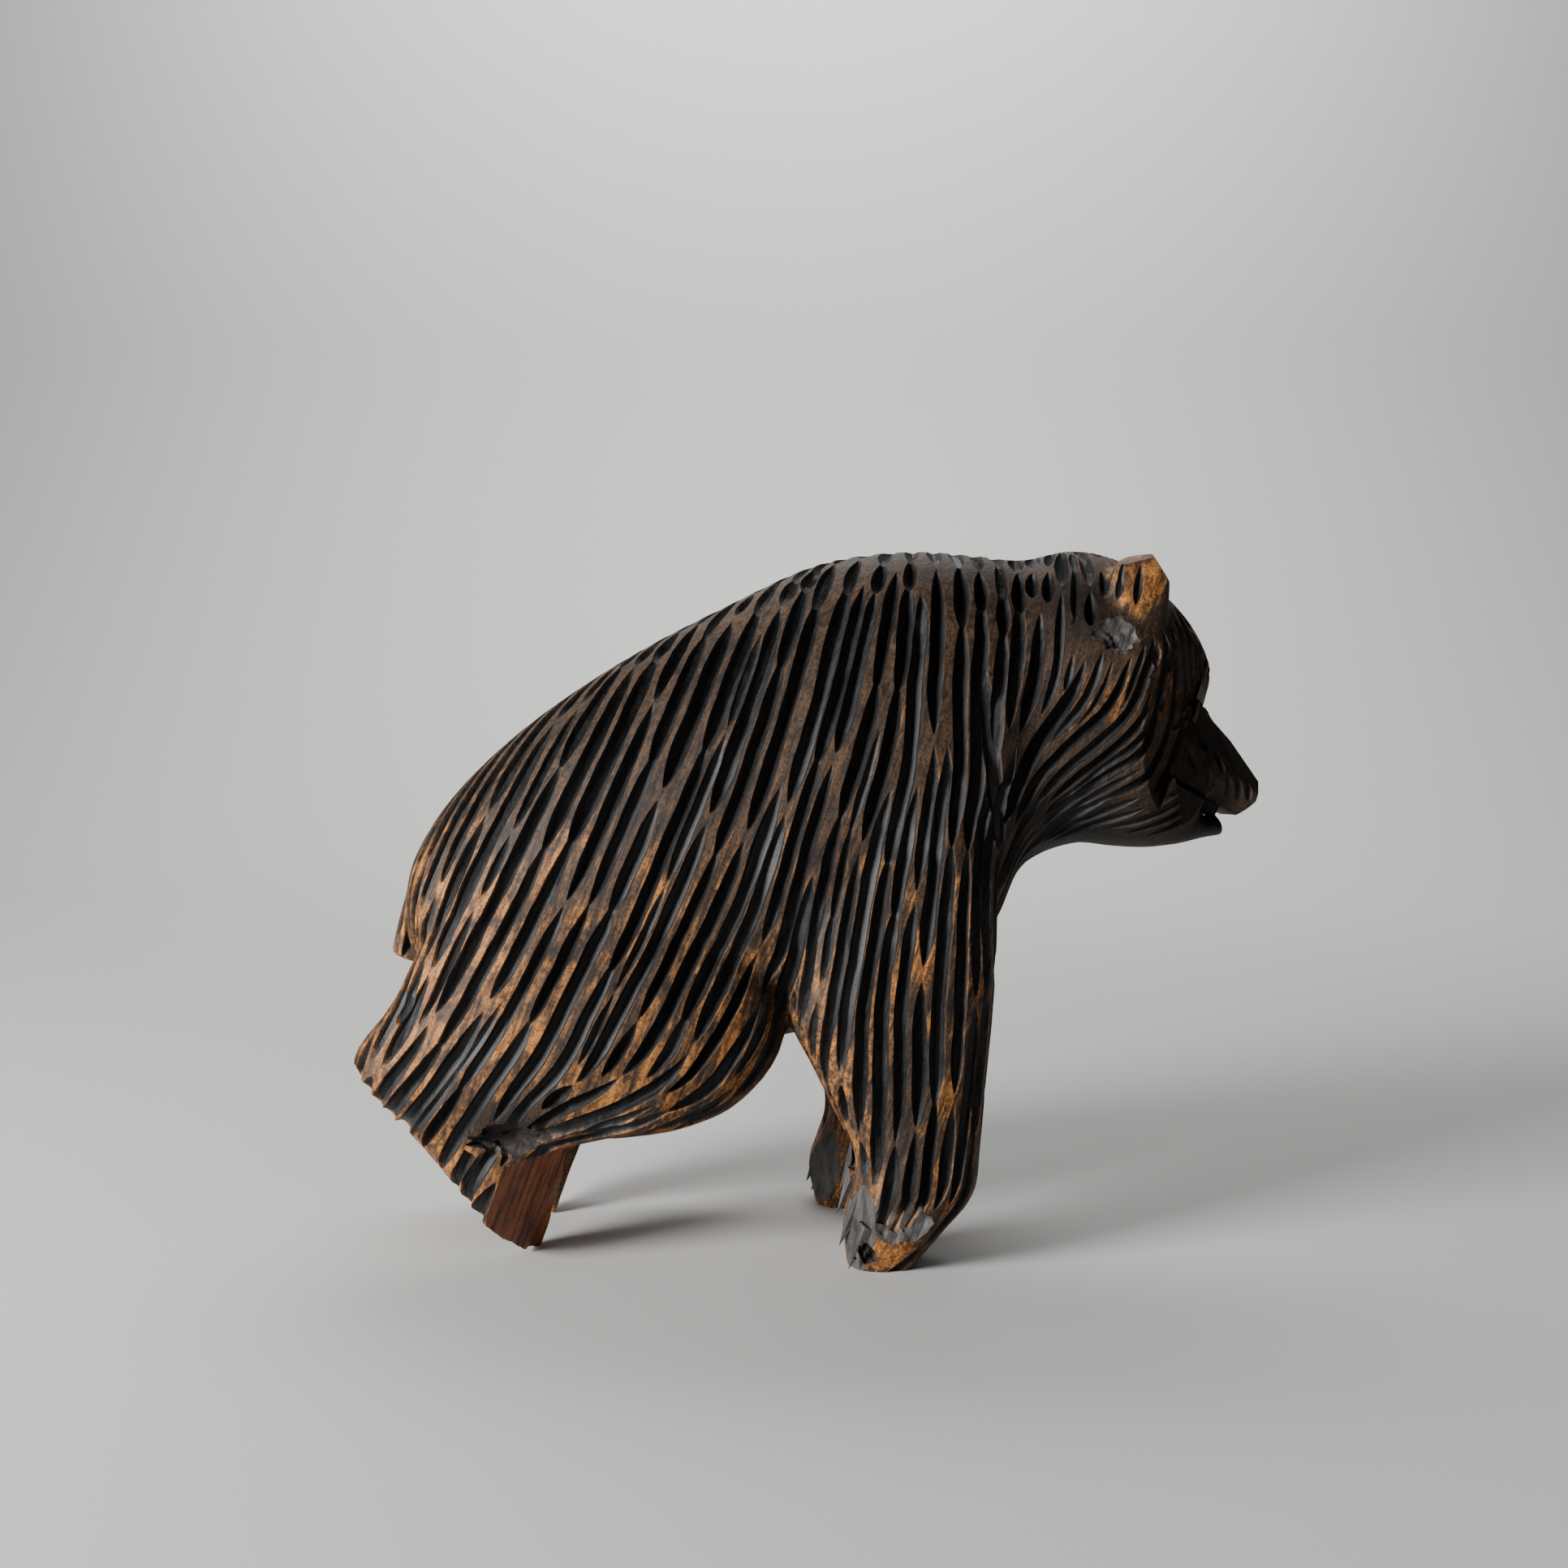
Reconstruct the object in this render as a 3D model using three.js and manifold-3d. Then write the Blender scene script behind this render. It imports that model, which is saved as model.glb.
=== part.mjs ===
// A bear carved from one block of wood, standing on its two forepaws and on the split tips of its hind feet.
// Millimetres, +Z up, +X towards the nose, +Y to the bear's left. The origin is under the middle of the bear.
import * as THREE from "three";
import { mergeVertices } from "three/addons/utils/BufferGeometryUtils.js";
import Module from "manifold-3d";

const wasm = await Module();
wasm.setup();

// Forms in side view. A rib is a slice across a form: its two edge points as [x, z], its half width along Y,
// and, on a leg or an ear, how far out from the middle plane it lies. Body and head run from rump to brow.
const BODY = [
  { top: [-99, 86], bottom: [-92, 68], half: 15 },
  { top: [-95.5, 100], bottom: [-80, 52], half: 31 },
  { top: [-86, 115], bottom: [-64, 43], half: 38 },
  { top: [-67.9, 132.4], bottom: [-44, 42], half: 41 },
  { top: [-42.1, 150.1], bottom: [-20, 46], half: 42 },
  { top: [-16.3, 163.8], bottom: [0, 52], half: 41.5 },
  { top: [9.5, 175.4], bottom: [18, 55], half: 42 },
  { top: [32, 178.6], bottom: [40, 62], half: 41 },
  { top: [50, 177.6], bottom: [54, 80], half: 36 },
  { top: [62, 176.4], bottom: [62, 96], half: 32 },
  { top: [75, 178.8], bottom: [76, 102], half: 32.5 },
  { top: [87, 176.5], bottom: [87, 101.2], half: 32 },
  { top: [98, 168.5], bottom: [97, 101], half: 28.5 },
  { top: [105.5, 160.5], bottom: [103, 103], half: 24 },
  { top: [110.4, 150.5], bottom: [107, 108], half: 18.5 },
  { top: [111, 141], bottom: [109, 118], half: 12 },
];
const UPPER_JAW = [
  { top: [99, 148], bottom: [92, 122], half: 21 },
  { top: [107, 140], bottom: [98, 118.5], half: 19.5 },
  { top: [113, 133.4], bottom: [105, 114.4], half: 17 },
  { top: [118.7, 127.2], bottom: [112, 110.8], half: 14.5 },
  { top: [123.4, 120.8], bottom: [118.2, 108.8], half: 12 },
  { top: [125, 117], bottom: [121.4, 109.6], half: 8 },
];
const LOWER_JAW = [
  { top: [92, 121], bottom: [86, 101.5], half: 22 },
  { top: [99, 116], bottom: [95, 101], half: 18 },
  { top: [106, 111.6], bottom: [103, 101.8], half: 14 },
  { top: [111.5, 109], bottom: [109.5, 103.4], half: 10.5 },
  { top: [114.8, 108.2], bottom: [114.6, 105.2], half: 7 },
];
const TAIL = [
  { top: [-86, 115], bottom: [-80, 96], half: 13 },
  { top: [-95, 101.5], bottom: [-86, 88], half: 12 },
  { top: [-100.6, 85], bottom: [-91, 76], half: 9.5 },
  { top: [-103.6, 73.6], bottom: [-93, 70], half: 7.5 },
];
const FORELEG = [
  { top: [48, 142], bottom: [16, 136], half: 12, out: 25 },
  { top: [52.6, 104], bottom: [2, 96], half: 16, out: 26.2 },
  { top: [52.4, 78], bottom: [1, 61], half: 17, out: 27.5 },
  { top: [51.2, 60], bottom: [7, 48], half: 16.5, out: 28 },
  { top: [49.6, 44], bottom: [12.5, 37], half: 15.5, out: 28 },
  { top: [48.2, 29], bottom: [17.5, 26], half: 15, out: 28 },
  { top: [46.6, 18], bottom: [17, 19], half: 15, out: 28.5 },
  { top: [39, 8.5], bottom: [14.6, 11], half: 14, out: 28.5 },
  { top: [31, -1.5], bottom: [15.4, -0.5], half: 9, out: 28.5 },
];
const HIND_LEG = [
  { top: [-26, 108], bottom: [-68, 110], half: 12, out: 18.5 },
  { top: [-6, 84], bottom: [-83, 91], half: 16.5, out: 25 },
  { top: [0, 55], bottom: [-91, 75], half: 19, out: 27 },
  { top: [-10, 40], bottom: [-97, 63], half: 18.5, out: 27.5 },
  { top: [-24, 33.2], bottom: [-105.6, 51], half: 17, out: 27.5 },
  { top: [-42, 30.4], bottom: [-104.6, 43], half: 15.5, out: 27 },
  { top: [-53, 27.4], bottom: [-93, 33], half: 14, out: 26.5 },
  { top: [-55, 18], bottom: [-84, 23], half: 13.5, out: 26 },
  { top: [-57, 6], bottom: [-76, 13], half: 13, out: 26 },
  { top: [-59, -3], bottom: [-70, 4], half: 12, out: 26 },
];
const EAR = [
  { top: [79.5, 155], bottom: [96, 153], half: 7.5, out: 19.5 },
  { top: [80.5, 164], bottom: [96.4, 163], half: 6.5, out: 21.5 },
  { top: [82, 170.5], bottom: [96.2, 170], half: 5.6, out: 22.5 },
  { top: [85.5, 175.6], bottom: [93, 175.4], half: 3.4, out: 23 },
];

// Flat cuts across the feet: a point on the plane and the way that the waste lies, on the bear's right side.
const SOLE = { point: [-84, -35, 24.5], waste: [-0.76, -0.09, -0.65] };
const SPLIT = { point: [-62.9, -25, 13], waste: [0.79, -0.51, -0.34] };
const ANKLE = { point: [-60, 0, 25.5], waste: [-0.25, 0, 0.97] };
const FLOOR = { point: [0, 0, 0], waste: [0, 0, -1] };
const WASTE_BLOCK = 220;

// The open mouth: a wedge from the lips back to the corner, in side view.
const MOUTH = { lips: [122, 106.4], gape: 2.6, corner: [101, 120], half: 30 };

// Forepaw claws: a fan of small points along the lower back edge of the paw, from its outer to its inner side.
const CLAW = { count: 4, length: 7.5, radius: 2.5, sides: 5, lean: [-0.5, 0, -0.87] };
const CLAW_ROW = { outer: [18.5, 39, 4.4], inner: [17.5, 18, 9.5] };

// Fur: rows of gouge cuts side by side. Each row is a chain of boat-shaped cuts, and the chains are staggered.
// On the body the rows run round from back to belly, and lean back on the way by so many ribs at each rib.
// On a leg they run down its outer face, between two turns round it, and stop short of the palm.
const FUR = { pitch: 6.6, depth: 2.1, stagger: 0.382, sharpness: 0.5 };
const BODY_FUR = { sides: 28, cuts: 4.3, belly: 0.8, bellyDepth: 0.35, first: 0.6, last: 13.6 };
const FLANK = { turn: 0.2, steps: 200 };
const BODY_LEAN = [0, -0.6, -1.2, -1.8, -2.2, -2.2, -2.2, -1.8, -1.4, -1.2, -1.3, -1.6, -1.8, -1.6, -0.8, 0];
const FORELEG_FUR = { rows: 10, from: -0.08, to: 0.56, cuts: 2.6, first: 0.5, last: 7.4 };
const HIND_LEG_FUR = { rows: 13, from: -0.04, to: 0.58, cuts: 2.6, first: 0.5, last: 6.4 };
const PALM = { rib: 6.4, turn: 0.34 };
const LEG_SKIN = { ringsPerRib: 2, innerSides: 6 };
const PLAIN_SIDES = { jaw: 10, tail: 8, ear: 8 };

// How square a form's slices are, 2 being an ellipse, and how much narrower the body is along its back.
const ROUND = { body: 2.3, leg: 2.5 };
const BACK_TAPER = 0.08;

// Corners closer than this are one corner.
const MERGE = 1e-4;

// A power that keeps the sign, which bends a circle towards a square.
const bend = (value, power) => Math.sign(value) * Math.abs(value) ** power;

// A smooth form through ribs. "at" gives a point for a place along the ribs and a turn round them, both in
// their own units: ribs, and whole turns from the top edge towards +Y.
class Form {
  constructor(ribs, { side = 1, square = ROUND.body, taper = 0 } = {}) {
    const smooth = (pick) => new THREE.CatmullRomCurve3(ribs.map(pick), false, "centripetal");
    this.last = ribs.length - 1;
    this.tops = smooth((rib) => new THREE.Vector3(rib.top[0], 0, rib.top[1]));
    this.bottoms = smooth((rib) => new THREE.Vector3(rib.bottom[0], 0, rib.bottom[1]));
    this.widths = smooth((rib, i) => new THREE.Vector3(rib.half, rib.out ?? 0, i));
    this.side = side;
    this.power = 2 / square;
    this.taper = taper;
  }

  at(rib, turn) {
    const along = THREE.MathUtils.clamp(rib / this.last, 0, 1);
    const top = this.tops.getPoint(along);
    const bottom = this.bottoms.getPoint(along);
    const width = this.widths.getPoint(along);
    const rise = bend(Math.cos(2 * Math.PI * turn), this.power);
    const reach = bend(Math.sin(2 * Math.PI * turn), this.power) * width.x * (1 - this.taper * rise);
    const point = top.clone().add(bottom).addScaledVector(top.sub(bottom), rise).multiplyScalar(0.5);
    return point.setY(this.side * (width.y + reach));
  }

  // The way out of the surface at a place, from two short steps along it.
  outAt(rib, turn, step = 0.01) {
    const along = this.at(rib + step, turn).sub(this.at(rib - step, turn));
    const round = this.at(rib, turn + step).sub(this.at(rib, turn - step));
    return along.cross(round).multiplyScalar(this.side).normalize();
  }

  // A closed faceted skin over the form, through rings at the given ribs with corners at the given turns.
  // "depth" sinks each corner below the form, and "lean" moves it along the ribs on its way round the girth.
  skin({ ribs, turns, depth = () => 0, lean = () => 0 }) {
    const sides = turns.length;
    const points = [];
    const faces = [];
    ribs.forEach((start, i) => {
      turns.forEach((turn, j) => {
        const girth = 1 - Math.abs(1 - 2 * (turn - Math.floor(turn)));
        const rib = start + lean(start) * girth;
        const sunk = depth(i, j, girth);
        points.push(...this.at(rib, turn).addScaledVector(this.outAt(rib, turn), -sunk).toArray());
      });
    });
    for (let i = 0; i < ribs.length - 1; i++) {
      for (let j = 0; j < sides; j++) {
        const here = i * sides + j;
        const next = i * sides + ((j + 1) % sides);
        faces.push(here, here + sides, next, next, here + sides, next + sides);
      }
    }
    const end = (ribs.length - 1) * sides;
    for (let j = 1; j < sides - 1; j++) {
      faces.push(0, j, j + 1, end, end + j + 1, end + j);
    }
    return outward(points, faces);
  }

  // A plain skin, with evenly spaced corners and one ring for each rib.
  plain(sides) {
    return this.skin({ ribs: evenly(0, this.last, this.last), turns: evenly(0, 1, sides).slice(0, -1) });
  }
}

// Evenly spaced numbers from first to last, both included.
function evenly(first, last, steps) {
  return Array.from({ length: steps + 1 }, (_, i) => THREE.MathUtils.lerp(first, last, i / steps));
}

// A geometry from points and faces, turned so that its faces point out.
function outward(points, faces) {
  let volume = 0;
  const corner = (index) => new THREE.Vector3().fromArray(points, index * 3);
  for (let i = 0; i < faces.length; i += 3) {
    volume += corner(faces[i]).dot(corner(faces[i + 1]).cross(corner(faces[i + 2])));
  }
  if (volume < 0) {
    for (let i = 0; i < faces.length; i += 3) {
      [faces[i + 1], faces[i + 2]] = [faces[i + 2], faces[i + 1]];
    }
  }
  return new THREE.BufferGeometry()
    .setAttribute("position", new THREE.Float32BufferAttribute(points, 3))
    .setIndex(faces);
}

// A three.js geometry as a solid that can be joined and cut.
function solid(geometry) {
  const bare = geometry.clone().deleteAttribute("normal").deleteAttribute("uv");
  const merged = mergeVertices(bare, MERGE);
  const vertProperties = new Float32Array(merged.attributes.position.array);
  const triVerts = new Uint32Array(merged.index.array);
  return new wasm.Manifold(new wasm.Mesh({ numProp: 3, vertProperties, triVerts }));
}

// A solid as a three.js geometry.
function geometryOf(made) {
  const mesh = made.getMesh();
  return new THREE.BufferGeometry()
    .setAttribute("position", new THREE.BufferAttribute(mesh.vertProperties, 3))
    .setIndex(new THREE.BufferAttribute(mesh.triVerts, 1));
}

// A block of waste with one face on the cutting plane. Side -1 is the bear's right, and +1 is its left.
function wasteBlock({ point, waste }, side = -1) {
  const flip = new THREE.Vector3(1, -side, 1);
  const direction = new THREE.Vector3(...waste).multiply(flip).normalize();
  const middle = new THREE.Vector3(...point).multiply(flip).addScaledVector(direction, WASTE_BLOCK / 2);
  const turn = new THREE.Quaternion().setFromUnitVectors(new THREE.Vector3(0, 0, 1), direction);
  const block = new THREE.BoxGeometry(WASTE_BLOCK, WASTE_BLOCK, WASTE_BLOCK);
  return solid(block.applyQuaternion(turn).translate(middle.x, middle.y, middle.z));
}

function claws(side) {
  const outer = new THREE.Vector3(...CLAW_ROW.outer);
  const inner = new THREE.Vector3(...CLAW_ROW.inner);
  const lean = new THREE.Vector3(...CLAW.lean).normalize();
  const turn = new THREE.Quaternion().setFromUnitVectors(new THREE.Vector3(0, 1, 0), lean);
  const made = [];
  for (let i = 0; i < CLAW.count; i++) {
    const middle = outer.clone().lerp(inner, i / (CLAW.count - 1));
    const cone = new THREE.ConeGeometry(CLAW.radius, CLAW.length, CLAW.sides).applyQuaternion(turn);
    made.push(solid(cone.translate(middle.x, side * middle.y, middle.z)));
  }
  return made;
}

function mouthWedge() {
  const lips = new THREE.Vector2(...MOUTH.lips);
  const corner = new THREE.Vector2(...MOUTH.corner);
  const across = lips.clone().sub(corner).normalize().rotateAround(new THREE.Vector2(), Math.PI / 2);
  const upper = lips.clone().addScaledVector(across, MOUTH.gape / 2);
  const lower = lips.clone().addScaledVector(across, -MOUTH.gape / 2);
  const wedge = new THREE.Shape([corner, lower, upper]);
  const slab = new THREE.ExtrudeGeometry(wedge, { depth: 2 * MOUTH.half, bevelEnabled: false });
  return solid(slab.rotateX(Math.PI / 2).translate(0, MOUTH.half, 0));
}

// How deep a chain of boat-shaped cuts is at a place along it. Odd lines are cuts, and even lines are land.
function chain(line, along, cuts) {
  if (line % 2 === 0) {
    return 0;
  }
  const place = along * cuts + line * FUR.stagger;
  return FUR.depth * Math.sin(Math.PI * (place - Math.floor(place))) ** FUR.sharpness;
}

// The ribs of the body's fur lines, evenly spaced along the flank: land and cut by turns.
function furRibs(form) {
  const places = evenly(BODY_FUR.first, BODY_FUR.last, FLANK.steps);
  const points = places.map((rib) => form.at(rib, FLANK.turn));
  const lengths = [0];
  for (let i = 1; i < points.length; i++) {
    lengths.push(lengths[i - 1] + points[i].distanceTo(points[i - 1]));
  }
  const flank = lengths.at(-1);
  const marks = evenly(0, flank, 2 * Math.round(flank / FUR.pitch));
  return marks.map((mark) => places[lengths.findIndex((length) => length >= mark)]);
}

// The body and head with their fur, and a plain face.
function bodySkin(form) {
  const furred = furRibs(form);
  const face = Math.ceil(BODY_FUR.last);
  const ribs = [0, ...furred, ...evenly(face, form.last, form.last - face)];
  const turns = evenly(0, 1, BODY_FUR.sides).slice(0, -1);
  const depth = (i, j, girth) => {
    const fade = girth > BODY_FUR.belly ? BODY_FUR.bellyDepth : 1;
    return i > 0 && i <= furred.length ? fade * chain(i - 1, girth, BODY_FUR.cuts) : 0;
  };
  const lean = (rib) => {
    const below = Math.min(Math.floor(rib), form.last - 1);
    return THREE.MathUtils.lerp(BODY_LEAN[below], BODY_LEAN[below + 1], rib - below);
  };
  return form.skin({ ribs, turns, depth, lean });
}

// A leg with fur down its outer face, and a plain inner face. A palm is left plain too.
function legSkin(form, fur, palm) {
  const ribs = evenly(0, form.last, form.last * LEG_SKIN.ringsPerRib);
  const outer = evenly(fur.from, fur.to, 2 * fur.rows);
  const inner = evenly(fur.to, fur.from + 1, LEG_SKIN.innerSides).slice(1, -1);
  const depth = (i, j) => {
    const onPalm = palm && ribs[i] > palm.rib && outer[j] > palm.turn;
    const furred = j < outer.length && ribs[i] > fur.first && ribs[i] < fur.last && !onPalm;
    return furred ? chain(j, (ribs[i] - fur.first) / (fur.last - fur.first), fur.cuts) : 0;
  };
  return form.skin({ ribs, turns: [...outer, ...inner], depth });
}

function foreleg(side) {
  const form = new Form(FORELEG, { side, square: ROUND.leg });
  return wasm.Manifold.union([solid(legSkin(form, FORELEG_FUR, PALM)), ...claws(side)]);
}

// The hind leg, with its flat sole and with its toes split off below the ankle.
function hindLeg(side) {
  const form = new Form(HIND_LEG, { side, square: ROUND.leg });
  const toes = wasteBlock(SPLIT, side).subtract(wasteBlock(ANKLE));
  return solid(legSkin(form, HIND_LEG_FUR)).subtract(wasteBlock(SOLE, side)).subtract(toes);
}

// The whole bear.
function carved() {
  const forms = [
    solid(bodySkin(new Form(BODY, { taper: BACK_TAPER }))),
    solid(new Form(UPPER_JAW).plain(PLAIN_SIDES.jaw)),
    solid(new Form(LOWER_JAW).plain(PLAIN_SIDES.jaw)),
    solid(new Form(TAIL).plain(PLAIN_SIDES.tail)),
  ];
  for (const side of [-1, 1]) {
    const ear = solid(new Form(EAR, { side }).plain(PLAIN_SIDES.ear));
    forms.push(foreleg(side), hindLeg(side), ear);
  }
  return wasm.Manifold.union(forms).subtract(mouthWedge()).subtract(wasteBlock(FLOOR));
}

const bear = new THREE.Mesh(
  geometryOf(carved()),
  new THREE.MeshStandardMaterial({ color: 0x3a2a1d, roughness: 0.62, metalness: 0 }),
);
bear.name = "bear";
bear.geometry.computeBoundingBox();
const { min, max } = bear.geometry.boundingBox;
bear.position.set(-(min.x + max.x) / 2, -(min.y + max.y) / 2, -min.z);

const part = new THREE.Group();
part.add(bear);
export default part;
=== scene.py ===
"""Dress the carved wooden bear: gouged fur, split toes, bare palms, a dark worn stain, and painted shade on the
face, the neck and in the hollows.
"""

from __future__ import annotations

import logging
import math
import random
from collections import defaultdict, deque
from collections.abc import Iterator, Sequence
from dataclasses import dataclass
from enum import Enum

import bpy
import numpy as np
from mathutils import Matrix, Vector, noise
from mathutils.bvhtree import BVHTree

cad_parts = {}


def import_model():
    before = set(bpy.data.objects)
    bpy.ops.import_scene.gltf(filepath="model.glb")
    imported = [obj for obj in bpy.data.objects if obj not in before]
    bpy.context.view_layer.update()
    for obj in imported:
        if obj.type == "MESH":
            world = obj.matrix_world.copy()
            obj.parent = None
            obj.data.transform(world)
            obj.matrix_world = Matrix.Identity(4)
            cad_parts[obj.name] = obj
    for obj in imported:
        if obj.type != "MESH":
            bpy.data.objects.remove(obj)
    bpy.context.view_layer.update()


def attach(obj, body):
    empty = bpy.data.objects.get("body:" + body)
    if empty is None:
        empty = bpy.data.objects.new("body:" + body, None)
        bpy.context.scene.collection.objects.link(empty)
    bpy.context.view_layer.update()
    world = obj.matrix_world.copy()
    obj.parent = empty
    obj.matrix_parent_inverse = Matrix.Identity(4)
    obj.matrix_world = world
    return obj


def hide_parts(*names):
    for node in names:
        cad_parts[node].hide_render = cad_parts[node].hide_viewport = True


LOG = logging.getLogger("wooden_bear")
MM = 0.001
DRAWING_SHIFT = -9.706


class Finish(Enum):
    """The finishes of the one block of wood, in the order of its material slots."""

    CARVED = 0
    SPLIT = 1
    PALM = 2
    # Painted shade: the near-black finish of the torn pocket, the hole between the claws and the wood inside the
    # mouth.
    TORN = 3


class Side(Enum):
    """The two sides of the bear, by the sign of Y."""

    NEAR = -1
    FAR = 1


def row_point(x: float, y: float, z: float) -> Vector:
    """Turn a place in the side drawing, in millimetres, into a point of the row frame in metres."""
    return Vector(((x + DRAWING_SHIFT) * MM, y * MM, z * MM))


def drawing_place(point: Vector) -> tuple[float, float, float]:
    """Turn a point of the row frame into a place in the side drawing, in millimetres."""
    return point.x / MM - DRAWING_SHIFT, point.y / MM, point.z / MM


def only(piece: bpy.types.Object) -> None:
    """Leave one object selected and active, in object mode."""
    bpy.ops.object.select_all(action="DESELECT")
    piece.select_set(True)
    bpy.context.view_layer.objects.active = piece


def apply_modifier(piece: bpy.types.Object, kind: str, **settings: object) -> None:
    """Add one modifier to a piece and apply it.

    Args:
        piece: The object that takes the modifier.
        kind: The modifier's type.
        settings: The modifier's own settings.
    """
    only(piece)
    modifier = piece.modifiers.new(kind.title(), kind)
    for name, value in settings.items():
        setattr(modifier, name, value)
    bpy.ops.object.modifier_apply(modifier=modifier.name)


def recalculate_normals(piece: bpy.types.Object) -> None:
    """Turn all faces of a closed piece outwards."""
    only(piece)
    bpy.ops.object.mode_set(mode="EDIT")
    bpy.ops.mesh.select_all(action="SELECT")
    bpy.ops.mesh.normals_make_consistent(inside=False)
    bpy.ops.object.mode_set(mode="OBJECT")


def through(points: np.ndarray, place: float) -> np.ndarray:
    """Follow a smooth centripetal curve through points.

    Args:
        points: The points that the curve passes, one row each.
        place: Where to read it, from 0 at the first point, counted in points.

    Returns:
        The point of the curve there.
    """
    last = len(points) - 1
    start = max(0, min(int(place), last - 1))
    share = place - start
    here, there = points[start], points[start + 1]
    before = points[start - 1] if start > 0 else 2 * points[0] - points[1]
    after = points[start + 2] if start + 2 <= last else 2 * points[last] - points[last - 1]
    gap = math.sqrt(np.linalg.norm(there - here)) or 1.0
    gap_before = math.sqrt(np.linalg.norm(here - before)) or gap
    gap_after = math.sqrt(np.linalg.norm(after - there)) or gap
    leave = (here - before) / gap_before - (there - before) / (gap_before + gap) + (there - here) / gap
    arrive = (there - here) / gap - (after - here) / (gap + gap_after) + (after - there) / gap_after
    leave, arrive = leave * gap, arrive * gap
    bend = 2 * (here - there) + leave + arrive
    turn = 3 * (there - here) - 2 * leave - arrive
    return here + leave * share + turn * share**2 + bend * share**3


@dataclass(frozen=True)
class Rib:
    """One section of a form: its upper or front edge, its lower or back edge, and its width."""

    top: tuple[float, float]
    bottom: tuple[float, float]
    half: float
    out: float = 0.0


class Form:
    """A rounded form of the carving, skinned through its ribs."""

    def __init__(self, ribs: Sequence[Rib], side: Side = Side.FAR, square: float = 2.3, taper: float = 0.0):
        """Keep the ribs as curves.

        Args:
            ribs: The sections, from end to end.
            side: The side that a leg or an ear stands on.
            square: How square a section is, where 2 is an ellipse.
            taper: How much narrower a section is at its top edge.
        """
        self.tops = np.array([rib.top for rib in ribs], float)
        self.bottoms = np.array([rib.bottom for rib in ribs], float)
        self.widths = np.array([(rib.half, rib.out) for rib in ribs], float)
        self.side = side.value
        self.square = square
        self.taper = taper
        self.last = len(ribs) - 1

    def at(self, rib: float, turn: float, spread: float = 1.0) -> Vector:
        """Give a point of the skin.

        Args:
            rib: The place along the form, counted in ribs.
            turn: The place round the section, from 0 at the top edge to 1.
            spread: The share of the section's size, 0 at its middle.

        Returns:
            The point in the row frame.
        """
        top, bottom = through(self.tops, rib), through(self.bottoms, rib)
        half, out = through(self.widths, rib)
        angle = math.tau * turn
        power = 2 / self.square
        rise = math.copysign(abs(math.cos(angle)) ** power, math.cos(angle)) * spread
        reach = math.copysign(abs(math.sin(angle)) ** power, math.sin(angle)) * spread
        middle = (top + bottom + (top - bottom) * rise) / 2
        across = out + reach * half * (1 - self.taper * rise)
        return row_point(middle[0], self.side * across, middle[1])

    def skin(self, name: str, rings_per_rib: int = 5, sides: int = 48) -> bpy.types.Object:
        """Shape a sphere's rings into the form.

        Args:
            name: The name of the new object.
            rings_per_rib: How many rings run from one rib to the next.
            sides: How many sides a ring has.

        Returns:
            The closed skin.
        """
        rings = self.last * rings_per_rib + 2
        bpy.ops.object.select_all(action="DESELECT")
        bpy.ops.mesh.primitive_uv_sphere_add(segments=sides, ring_count=rings, radius=1.0)
        skin = bpy.context.object
        skin.name = name
        for vertex in skin.data.vertices:
            polar = math.acos(max(-1.0, min(1.0, vertex.co.z))) / math.pi * rings
            rib = (polar - 1) / (rings - 2) * self.last
            turn = math.atan2(vertex.co.y, vertex.co.x) / math.tau
            on_pole = polar < 0.5 or polar > rings - 0.5
            vertex.co = self.at(min(max(rib, 0.0), self.last), turn, 0.0 if on_pole else 1.0)
        recalculate_normals(skin)
        return skin


BODY = (
    Rib((-99, 86), (-92, 68), 15),
    Rib((-95.5, 100), (-80, 52), 31),
    Rib((-86, 115), (-64, 43), 38),
    Rib((-67.9, 132.4), (-44, 42), 41),
    Rib((-42.1, 150.1), (-20, 46), 42),
    Rib((-16.3, 163.8), (0, 52), 41.5),
    Rib((9.5, 175.4), (18, 55), 42),
    Rib((32, 178.6), (40, 62), 41),
    Rib((50, 177.6), (54, 80), 36),
    Rib((62, 176.4), (62, 96), 32),
    Rib((75, 178.8), (76, 102), 32.5),
    Rib((87, 176.5), (87, 101.2), 32),
    Rib((98, 168.5), (97, 101), 28.5),
    Rib((105.5, 160.5), (103, 103), 24),
    Rib((110.4, 150.5), (107, 108), 18.5),
    Rib((111, 141), (109, 118), 12),
)
UPPER_JAW = (
    Rib((99, 148), (92, 122), 21),
    Rib((107, 140), (98, 118.5), 19.5),
    Rib((113, 133.4), (105, 114.4), 17),
    Rib((118.7, 127.2), (112, 110.8), 14.5),
    Rib((124.0, 121.6), (118.2, 108.2), 12.5),
    Rib((126.4, 118.6), (121.4, 108.4), 10),
)
LOWER_JAW = (
    Rib((92, 121), (86, 101.5), 22),
    Rib((99, 116), (95, 101), 18),
    Rib((106, 111.6), (103, 101.8), 14),
    Rib((111.5, 109), (109.5, 103.4), 10.5),
    Rib((115.6, 109.6), (115.2, 104.2), 8.5),
)
TAIL = (
    Rib((-86, 115), (-80, 96), 13),
    Rib((-95, 101.5), (-86, 88), 12),
    Rib((-100.6, 85), (-91, 76), 9.5),
    Rib((-103.6, 73.6), (-93, 70), 7.5),
)
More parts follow.
